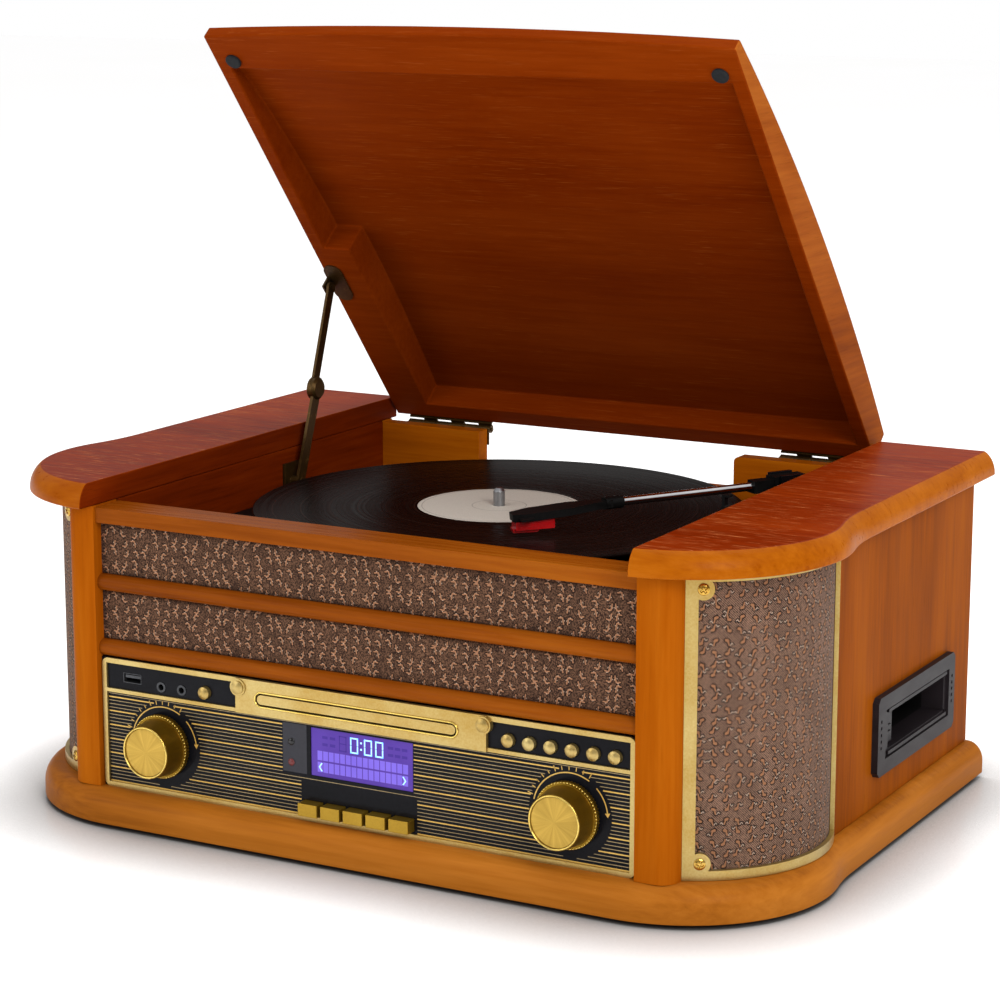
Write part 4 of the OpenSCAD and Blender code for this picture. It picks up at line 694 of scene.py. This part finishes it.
def add_cross_screw(bm, place):
    """A domed screw head with a cross recess. Its axis is the matrix's Z."""
    n, r, dome, sunk, depth = 32, 3.3, 1.35, -0.4, 0.75
    # Half the width and half the length of the recess, as shares of the radius
    slot, reach = 0.16, 0.62
    radii = (0.0, 0.18, 0.3, 0.45, 0.56, 0.68, 0.8, 0.9, 0.97, 1.0)
    rings = []
    for q, high in [(q, dome * math.sqrt(1 - (0.93 * q) ** 2)) for q in radii] + [(1.0, sunk)]:
        ring = []
        for i in range(n):
            x, y = round_about(0, 0, q, 2 * math.pi * i / n)
            recess = min(abs(x), abs(y)) < slot and max(abs(x), abs(y)) < reach
            h = high - depth if recess else high
            ring.append(bm.verts.new(place @ Vector((x * r / 1000, y * r / 1000, h / 1000))))
        rings.append(ring)
    for a, b in zip(rings, rings[1:]):
        for i in range(n):
            bm.faces.new([a[i], a[(i + 1) % n], b[(i + 1) % n], b[i]])
    bmesh.ops.remove_doubles(bm, verts=bm.verts, dist=1e-7)


def build_panel(look):
    """The control panel: trim, printed lines, scales and lenses."""
    m = MATERIALS
    dressed("fascia_panel", m["panel"], 0.2)
    dressed("fascia_trim", m["gold"], 0.35)
    dressed("front_sockets", m["gunmetal"], 0.15)
    gold, silver = bmesh.new(), bmesh.new()
    # Printed lines across the panel, every fourth one wide and gold, with gaps at the knobs and windows
    left, right, top = -172.5, 172.5, PLINTH_TOP + 57.6
    pitch, knob_gap = 2.15, 25.4
    boxes = [(-50.2, 37.3, PLINTH_TOP + 26.6, PLINTH_TOP + 57.0),
             (-37.6, 39.5, PLINTH_TOP, PLINTH_TOP + 24.6)]
    k = 0
    while (z := PLINTH_TOP + 3.4 + k * pitch) <= top:
        wide = k % 4 == 0
        h = 0.375 if wide else 0.18
        spans = [(left, right)]
        cuts = [(a, b) for a, b, z0, z1 in boxes if z0 < z < z1]
        if abs(z - KNOB_Z) < knob_gap:
            half = math.sqrt(knob_gap**2 - (z - KNOB_Z) ** 2)
            cuts += [(x - half, x + half) for x in KNOBS.values()]
        for a, b in cuts:
            spans = [s for p, q in spans for s in ((p, min(q, a)), (max(p, b), q)) if s[1] - s[0] > 1]
        for a, b in spans:
            add_patch(gold if wide else silver, a, z - h, b, z + h)
        k += 1
    # A bead round the disc slot
    bm = bmesh.new()
    lo, hi = (v * 1000 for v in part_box("disc_tray"))
    zc, half, rise = (lo.z + hi.z) / 2, (hi.x - lo.x) / 2, (hi.z - lo.z) / 2 + 1.5
    path = [round_about(cx, zc, rise, math.radians(start + 12 * i))
            for cx, start in ((half - rise + 1.5, -90), (rise - half - 1.5, 90)) for i in range(16)]
    add_bead(bm, path, 0.6, -1.2)
    make("panel_beads", bm, m["bead"], "cabinet", 60)
    # A scale of plain marks round each knob, with an arrow where it ends
    arc_r, arc_wide = 22.9, 0.7
    for x in KNOBS.values():
        add_arc(gold, x, KNOB_Z, arc_r, arc_wide, 60, 168)
        add_arc(gold, x, KNOB_Z, arc_r, arc_wide, 8, 46)
        for i in range(11):
            add_mark(gold, x, KNOB_Z, math.radians(62 + 10 * i), 24.3, 26.6 if i % 5 else 27.6, 0.5)
        tip, tail = math.radians(2), math.radians(2) + 0.11
        add_face(gold, [on_panel(*round_about(x, KNOB_Z, q, a))
                        for q, a in ((arc_r - 1.6, tail), (arc_r, tip), (arc_r + 1.6, tail))])
    make("panel_lines_gold", gold, m["line_gold"], "cabinet")
    make("panel_lines_silver", silver, m["line_silver"], "cabinet")
    # The sensor plate beside the display
    bm = bmesh.new()
    add_patch(bm, -49.8, PLINTH_TOP + 27.4, -33.6, PLINTH_TOP + 56.4, lambda x, z: on_panel(x, z, 0.08))
    make("sensor_plate", bm, m["plate"], "cabinet")
    # Dark lenses of the receiver and the standby light
    for name, z, material in (("receiver_lens", 45.4, "gloss_black"), ("standby_lens", 33.2, "dim_red")):
        bm = bmesh.new()
        add_lathe(bm, [(0, 0.75), (0.8, 0.7), (1.5, 0.5), (2.0, 0.2), (2.15, 0.0), (2.15, -0.2)],
                  facing(-44, PANEL_Y - 0.35, PLINTH_TOP + z), 40)
        make(name, bm, m[material], "cabinet", 60)


def add_bead(bm, path, r, y):
    """A round bead along a closed path of x and z in the plane y."""
    n, sides = len(path), 8
    rings = []
    for i, (x, z) in enumerate(path):
        (ax, az), (bx, bz) = path[i - 1], path[(i + 1) % n]
        along = Vector((bx - ax, bz - az)).normalized()
        ring = (round_about(0, 0, r, 2 * math.pi * k / sides) for k in range(sides))
        rings.append([bm.verts.new(mm(x + along.y * c, y + s, z - along.x * c)) for c, s in ring])
    for i in range(n):
        for k in range(sides):
            j = (k + 1) % sides
            bm.faces.new([rings[i][k], rings[i][j], rings[(i + 1) % n][j], rings[(i + 1) % n][k]])


def add_arc(bm, x, z, r, width, a0, a1):
    """A printed arc on the control panel, from a0 to a1 degrees."""
    n = max(4, int(abs(a1 - a0) / 3))
    for i in range(n):
        p, q = (math.radians(a0 + (a1 - a0) * (i + k) / n) for k in (0, 1))
        add_face(bm, [on_panel(*round_about(x, z, r + k * width / 2, a))
                      for a, k in ((p, -1), (q, -1), (q, 1), (p, 1))])


def add_mark(bm, x, z, a, r0, r1, width):
    """A short radial mark, from r0 to r1 at the angle a."""
    c, s = math.cos(a), math.sin(a)
    h = width / 2
    add_face(bm, [on_panel(x + r * c - k * h * s, z + r * s + k * h * c)
                  for r, k in ((r0, -1), (r1, -1), (r1, 1), (r0, 1))])


def add_figure(bm, strokes, x, z, w, h, t, at):
    """A figure of the seven strokes a to g, each t wide, whose lower left corner is x, z."""
    gap = 0.14
    rows = {"a": (0, h - t, w, h), "g": (0, h / 2 - t / 2, w, h / 2 + t / 2), "d": (0, 0, w, t),
            "f": (0, h / 2, t, h), "b": (w - t, h / 2, w, h),
            "e": (0, 0, t, h / 2), "c": (w - t, 0, w, h / 2)}
    for key in strokes:
        a, b, c, d = rows[key]
        add_patch(bm, x + a + gap, z + b + gap, x + c - gap, z + d - gap, at)


def build_display(look):
    """The lit display: plain figures and empty cells."""
    m = MATERIALS
    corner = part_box("display_window")[0] * 1000

    def before(out):
        """Places points that far in front of the glass, from its lower left corner."""
        return lambda x, z: mm(corner.x + x, GLASS_Y - out, corner.z + z)

    near, middle, deep = before(0.09), before(0.06), before(0.03)
    dressed("display_window", m["lcd"], 0.1)
    on, ghost, cell = bmesh.new(), bmesh.new(), bmesh.new()
    for x in (26.0, 35.2, 42.6):
        add_figure(on, "abcdef", x, 16.6, 5.6, 9.6, 1.15, middle)
    for z in (19.2, 23.0):
        add_patch(on, 32.9, z, 34.0, z + 1.1, middle)
    add_figure(ghost, "abcdefg", 18.6, 16.6, 5.2, 9.4, 0.9, deep)
    for x in (7.5, 12.6, 51.0, 55.6, 60.2):
        for z in (18.4, 22.6):
            add_patch(ghost, x, z, x + 3.6, z + 1.7, deep)
    for z, tall in ((9.6, 5.6), (2.6, 6.0)):
        for i in range(16):
            x = 4.2 + i * 3.78
            add_patch(cell, x, z, x + 3.3, z + tall, deep)
    # Two arrowheads, each of an upper and a lower stroke, which point outwards
    for x, d in ((6.4, -1), (61.6, 1)):
        for s in (-2.4, 2.4):
            stroke = ((-1.2, s), (-0.3, s), (1.4, 0), (0.5, 0))
            add_face(on, [near(x + q * d, 5.6 + rise) for q, rise in stroke])
    make("display_figures", on, m["lcd_on"], "cabinet")
    make("display_ghosts", ghost, m["lcd_ghost"], "cabinet")
    make("display_cells", cell, m["lcd_cell"], "cabinet")


def build_knobs(look):
    """The two big knobs, all the buttons and the disc tray."""
    m = MATERIALS
    # Where the brushed faces lie and the knobs' toothed skirts end
    face_y, skirt_y = PANEL_Y - 18.9, PANEL_Y - 5.5
    for name, x in KNOBS.items():
        dressed(name + "_knob", m["knob"], 0.25, 2)
        paint(name + "_shaft", m["steel"])
        centre = mm(x, face_y, KNOB_Z)
        bm = bmesh.new()
        add_lathe(bm, [(0, 0.22), (0.6, 0.2), (5, 0.14), (10, 0.1), (14.0, 0.06), (14.2, 0.02)],
                  facing(x, face_y, KNOB_Z), 128)
        make(name + "_knob_face", bm, m["knob_face"], name + "_turn", 60, origin=centre)
        # A bright rim round the face, and a stud on each tooth of the skirt, whose pale gold paints the
        # glints of light on them
        bm = bmesh.new()
        teeth = [math.radians(6 * i + 3) for i in range(60)]
        add_bead(bm, [round_about(x, KNOB_Z, 15.0, a) for a in teeth], 0.5, face_y - 0.5)
        for a in teeth:
            sx, sz = round_about(x, KNOB_Z, 18.6, a)
            add_lathe(bm, [(0, 0.7), (0.35, 0.55), (0.6, 0), (0.6, -0.4)], facing(sx, skirt_y, sz), 8)
        make(name + "_knob_beads", bm, m["bead"], name + "_turn", 60, origin=centre)
    for material, names in (("gold", "function play stop back forward record open"),
                            ("gold_dark", "menu info scan preset enter")):
        for name in names.split():
            dressed(name + "_button", m[material], 0.4, 3)
    dressed("disc_tray", m["gold"], 0.5, 2)


def build_record(look):
    """The record with its grooves and a plain label."""
    lo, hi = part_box("vinyl_record")
    centre = Vector(((lo.x + hi.x) / 2, (lo.y + hi.y) / 2, lo.z))
    place = Matrix.Translation(centre)
    # The record's radius and thickness, and the radius of its hole
    r, t, hole = 150.75, 1.8, 3.65
    grooves = t - 0.17
    profile = [(hole, 0), (r - 0.9, 0), (r - 0.15, t * 0.3), (r - 0.15, t * 0.7), (r - 0.9, t), (r - 2.6, t)]
    profile += [(q, grooves) for q in (r - 4.2, 135, 120, 105, 90, 75, 60, 51.2)]
    profile += [(50.4, t - 0.02), (30, t), (hole, t)]
    bm = bmesh.new()
    add_lathe(bm, profile, place, 192, loop=True)
    disc = make("record_disc", bm, MATERIALS["vinyl"], "turntable", 30, origin=centre)
    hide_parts("vinyl_record")
    label = ((3.75, 0.01), (3.75, 0.06), (15, 0.07), (17, 0.055), (44, 0.06), (49.6, 0.06), (49.9, 0.03))
    bm = bmesh.new()
    add_lathe(bm, [(q, t + h) for q, h in label], place, 144)
    make("record_label", bm, MATERIALS["label"], "turntable", 30, origin=centre)
    dressed("platter", MATERIALS["steel"], 0.2)


def build_tonearm(look):
    """The arm's black and chromed parts, its base, cartridge and clip."""
    m = MATERIALS
    dressed("arm_base", m["black"], 0.4)
    dressed("arm_turret", m["gloss_black"], 0.5)
    a = math.radians(ARM_TURN)
    back = Vector((math.sin(a), math.cos(a)))
    collar, block = -117.9, -26.2

    def is_black(x, y, z):
        """True off the chromed tube, which runs from the pivot's block to the collar."""
        return not collar < (Vector((x, y)) - Vector(ARM_PIVOT)).dot(back) < block

    dressed("tonearm", m["chrome"], 0.3, other=m["black"], pick=is_black)
    dressed("stylus_cartridge", m["red"], 0.3)
    dressed("arm_clip", m["black"], 0.2)


def build_lid(look):
    """Dresses the lid and its pads."""
    m = MATERIALS
    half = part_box("lid_panel")[1].x * 1000
    dressed("lid_panel", m["lid"], look.arris * 1.6, 3, other=m["lid_edge"],
            pick=lambda x, y, z: abs(x) > half - 1.5)
    dressed("lid_pads", m["rubber"], 0.6)


def build_hardware(look):
    """Dresses the hinges, the stay, the bezel, the eject key and the rear sockets."""
    m = MATERIALS
    for node in ("cabinet_hinges", "lid_hinges", "stay_foot_plate", "stay_lid_plate", "stay_upper_link",
                 "stay_lower_link"):
        dressed(node, m["brass"], 0.3)
    dressed("cassette_bezel", m["bezel"], 0.5)
    dressed("eject_key", m["bezel"], 0.4)
    dressed("rear_sockets", m["black"], 0.4)


def build_stage(look):
    """Floor, lights, world and camera."""
    s = Shader("studio_floor")
    place = s.add("TexCoord", out=3)
    cloud = s.noise(place, 1.5, 2.0)
    tone = s.mix(s.span(cloud, 0.3, 0.7), srgb("#f6f6f6"), srgb("#f7f7f8"))
    # It glows faintly, but not round the foot of the cabinet, where its shadow falls; ambient occlusion
    # darkens its colour and glow there as a painted shadow
    outside = s.vec("SUBTRACT", s.vec("ABSOLUTE", place), (0.2, 0.15, 0))
    away = s.vec("LENGTH", s.vec("MAXIMUM", outside, (0, 0, 0)), out=1)
    shade = s.span(s.add("AmbientOcclusion", {"Distance": 0.09}, 1, samples=8), 0.3, 1.0, 0.1, 1.0)
    tone = s.mix(shade, srgb("#14100e"), tone)
    glow_up = s.math("MULTIPLY", s.span(away, 0.0, 0.14, 0.0, 0.58), shade)
    material = s.finish(Base_Color=tone, Roughness=0.22, Specular_IOR_Level=0.35, Emission_Color=tone,
                        Emission_Strength=glow_up)
    mesh = bpy.data.meshes.new("studio_floor")
    bm = bmesh.new()
    bmesh.ops.create_grid(bm, x_segments=8, y_segments=8, size=9)
    bm.to_mesh(mesh)
    bm.free()
    mesh.materials.append(material)
    floor = bpy.data.objects.new("studio_floor", mesh)
    bpy.context.scene.collection.objects.link(floor)

    def area(name, place, target, size, power, colour=(1, 1, 1)):
        """A square light, in metres and watts."""
        light = bpy.data.lights.new(name, "AREA")
        light.shape, light.size, light.energy, light.color = "SQUARE", size, power * look.light, colour
        obj = bpy.data.objects.new(name, light)
        obj.location = place
        obj.rotation_euler = (Vector(target) - Vector(place)).to_track_quat("-Z", "Y").to_euler()
        bpy.context.scene.collection.objects.link(obj)

    area("key_light", (2.1, -1.7, 1.7), (0.1, 0, 0.15), 1.3, 50, (1, 0.98, 0.95))
    area("fill_light", (-1.7, -2.0, 1.0), (0, 0, 0.15), 1.5, 16)
    area("top_light", (0.2, 0.3, 2.3), (0, 0, 0.1), 1.6, 22)
    world = bpy.context.scene.world or bpy.data.worlds.new("studio_world")
    bpy.context.scene.world = world
    world.use_nodes = True
    tree = world.node_tree
    tree.nodes.clear()
    seen = tree.nodes.new("ShaderNodeLightPath")
    white, soft = (tree.nodes.new("ShaderNodeBackground") for _ in range(2))
    white.inputs[0].default_value = (1, 1, 1, 1)
    white.inputs[1].default_value = 1.0
    # The room is dark near the horizon and light above, so that upright gloss stays deep
    place, parts, rise = (tree.nodes.new("ShaderNode" + k) for k in ("TexCoord", "SeparateXYZ", "MapRange"))
    tree.links.new(place.outputs["Generated"], parts.inputs[0])
    tree.links.new(parts.outputs[2], rise.inputs["Value"])
    for key, value in (("From Min", 0.0), ("From Max", 0.55), ("To Min", 0.1), ("To Max", 0.75)):
        rise.inputs[key].default_value = value
    soft.inputs[0].default_value = (1, 0.99, 0.98, 1)
    tree.links.new(rise.outputs[0], soft.inputs[1])
    mix = tree.nodes.new("ShaderNodeMixShader")
    out = tree.nodes.new("ShaderNodeOutputWorld")
    tree.links.new(seen.outputs["Is Camera Ray"], mix.inputs[0])
    tree.links.new(soft.outputs[0], mix.inputs[1])
    tree.links.new(white.outputs[0], mix.inputs[2])
    tree.links.new(mix.outputs[0], out.inputs[0])

    camera = bpy.data.cameras.new("camera")
    camera.sensor_width = 36
    camera.lens = 101.8
    camera.clip_start, camera.clip_end = 0.05, 60
    obj = bpy.data.objects.new("camera", camera)
    obj.location = mm(811.96, -1306.60, 529.83)
    obj.rotation_euler = (math.pi / 2 - 0.2029, -0.0006, 0.5031)
    bpy.context.scene.collection.objects.link(obj)
    bpy.context.scene.camera = obj
    bpy.context.scene.view_settings.view_transform = "Standard"


# ---- Add-on ----


class CentreLook(bpy.types.PropertyGroup):
    """Sizes and colours of the visual pieces"""

    arris: FloatProperty(
        name="Arris", description="Rounding of the wooden edges, in millimetres", default=0.8, min=0.1, max=2)
    gloss: FloatProperty(
        name="Lacquer", description="Strength of the wood's shine", default=1.0, min=0, max=8,
        subtype="FACTOR")
    gold: FloatVectorProperty(
        name="Gold", description="Light tone of the gold paint", default=(0.5, 0.385, 0.15), min=0, max=1,
        size=3, subtype="COLOR")
    light: FloatProperty(
        name="Light", description="Strength of the studio lights", default=1.0, min=0, max=4,
        subtype="FACTOR")


def operator(name, label, doc, work):
    """An operator class for one group of pieces."""

    def execute(self, context):
        work(context.scene.centre_look)
        return {"FINISHED"}

    return type("CENTRE_OT_" + name, (bpy.types.Operator,),
                {"bl_idname": "centre." + name, "bl_label": label, "__doc__": doc, "execute": execute})


OPERATORS = [operator(*row) for row in (
    ("materials", "Materials", "Makes every material", build_materials),
    ("cabinet", "Cabinet", "Dresses the cabinet's boards", build_cabinet),
    ("speaker_cloths", "Speaker cloths", "Makes the two speaker cloths", build_speaker_cloths),
    ("front_cloth", "Front cloth", "Makes the cloth strips between the rails", build_front_cloth),
    ("frames", "Speaker frames", "Dresses the speaker frames and makes their screws", build_frames),
    ("panel", "Control panel", "Dresses the panel and prints its lines", build_panel),
    ("display", "Display", "Makes the display's figures and cells", build_display),
    ("knobs", "Knobs and buttons", "Dresses the knobs, buttons and disc tray", build_knobs),
    ("record", "Record", "Makes the record and its label", build_record),
    ("tonearm", "Tonearm", "Makes the tonearm", build_tonearm),
    ("lid", "Lid", "Dresses the lid", build_lid),
    ("hardware", "Hardware", "Dresses the hinges, stay, bezel and sockets", build_hardware),
    ("stage", "Stage", "Makes the floor, lights and camera", build_stage),
)]


class CENTRE_PT_panel(bpy.types.Panel):
    """Lists the look and the steps"""

    bl_label = "Music centre"
    bl_idname = "CENTRE_PT_panel"
    bl_space_type = "VIEW_3D"
    bl_region_type = "UI"
    bl_category = "Music centre"

    def draw(self, context):
        for name in ("arris", "gloss", "gold", "light"):
            self.layout.prop(context.scene.centre_look, name)
        for step in OPERATORS:
            self.layout.operator(step.bl_idname)


CLASSES = [CentreLook, *OPERATORS, CENTRE_PT_panel]


def register():
    for cls in CLASSES:
        bpy.utils.register_class(cls)
    bpy.types.Scene.centre_look = PointerProperty(type=CentreLook)


def unregister():
    del bpy.types.Scene.centre_look
    for cls in reversed(CLASSES):
        bpy.utils.unregister_class(cls)


def main():
    register()
    for step in OPERATORS:
        getattr(bpy.ops.centre, step.bl_idname.split(".")[1])()


if __name__ == "__main__":
    main()
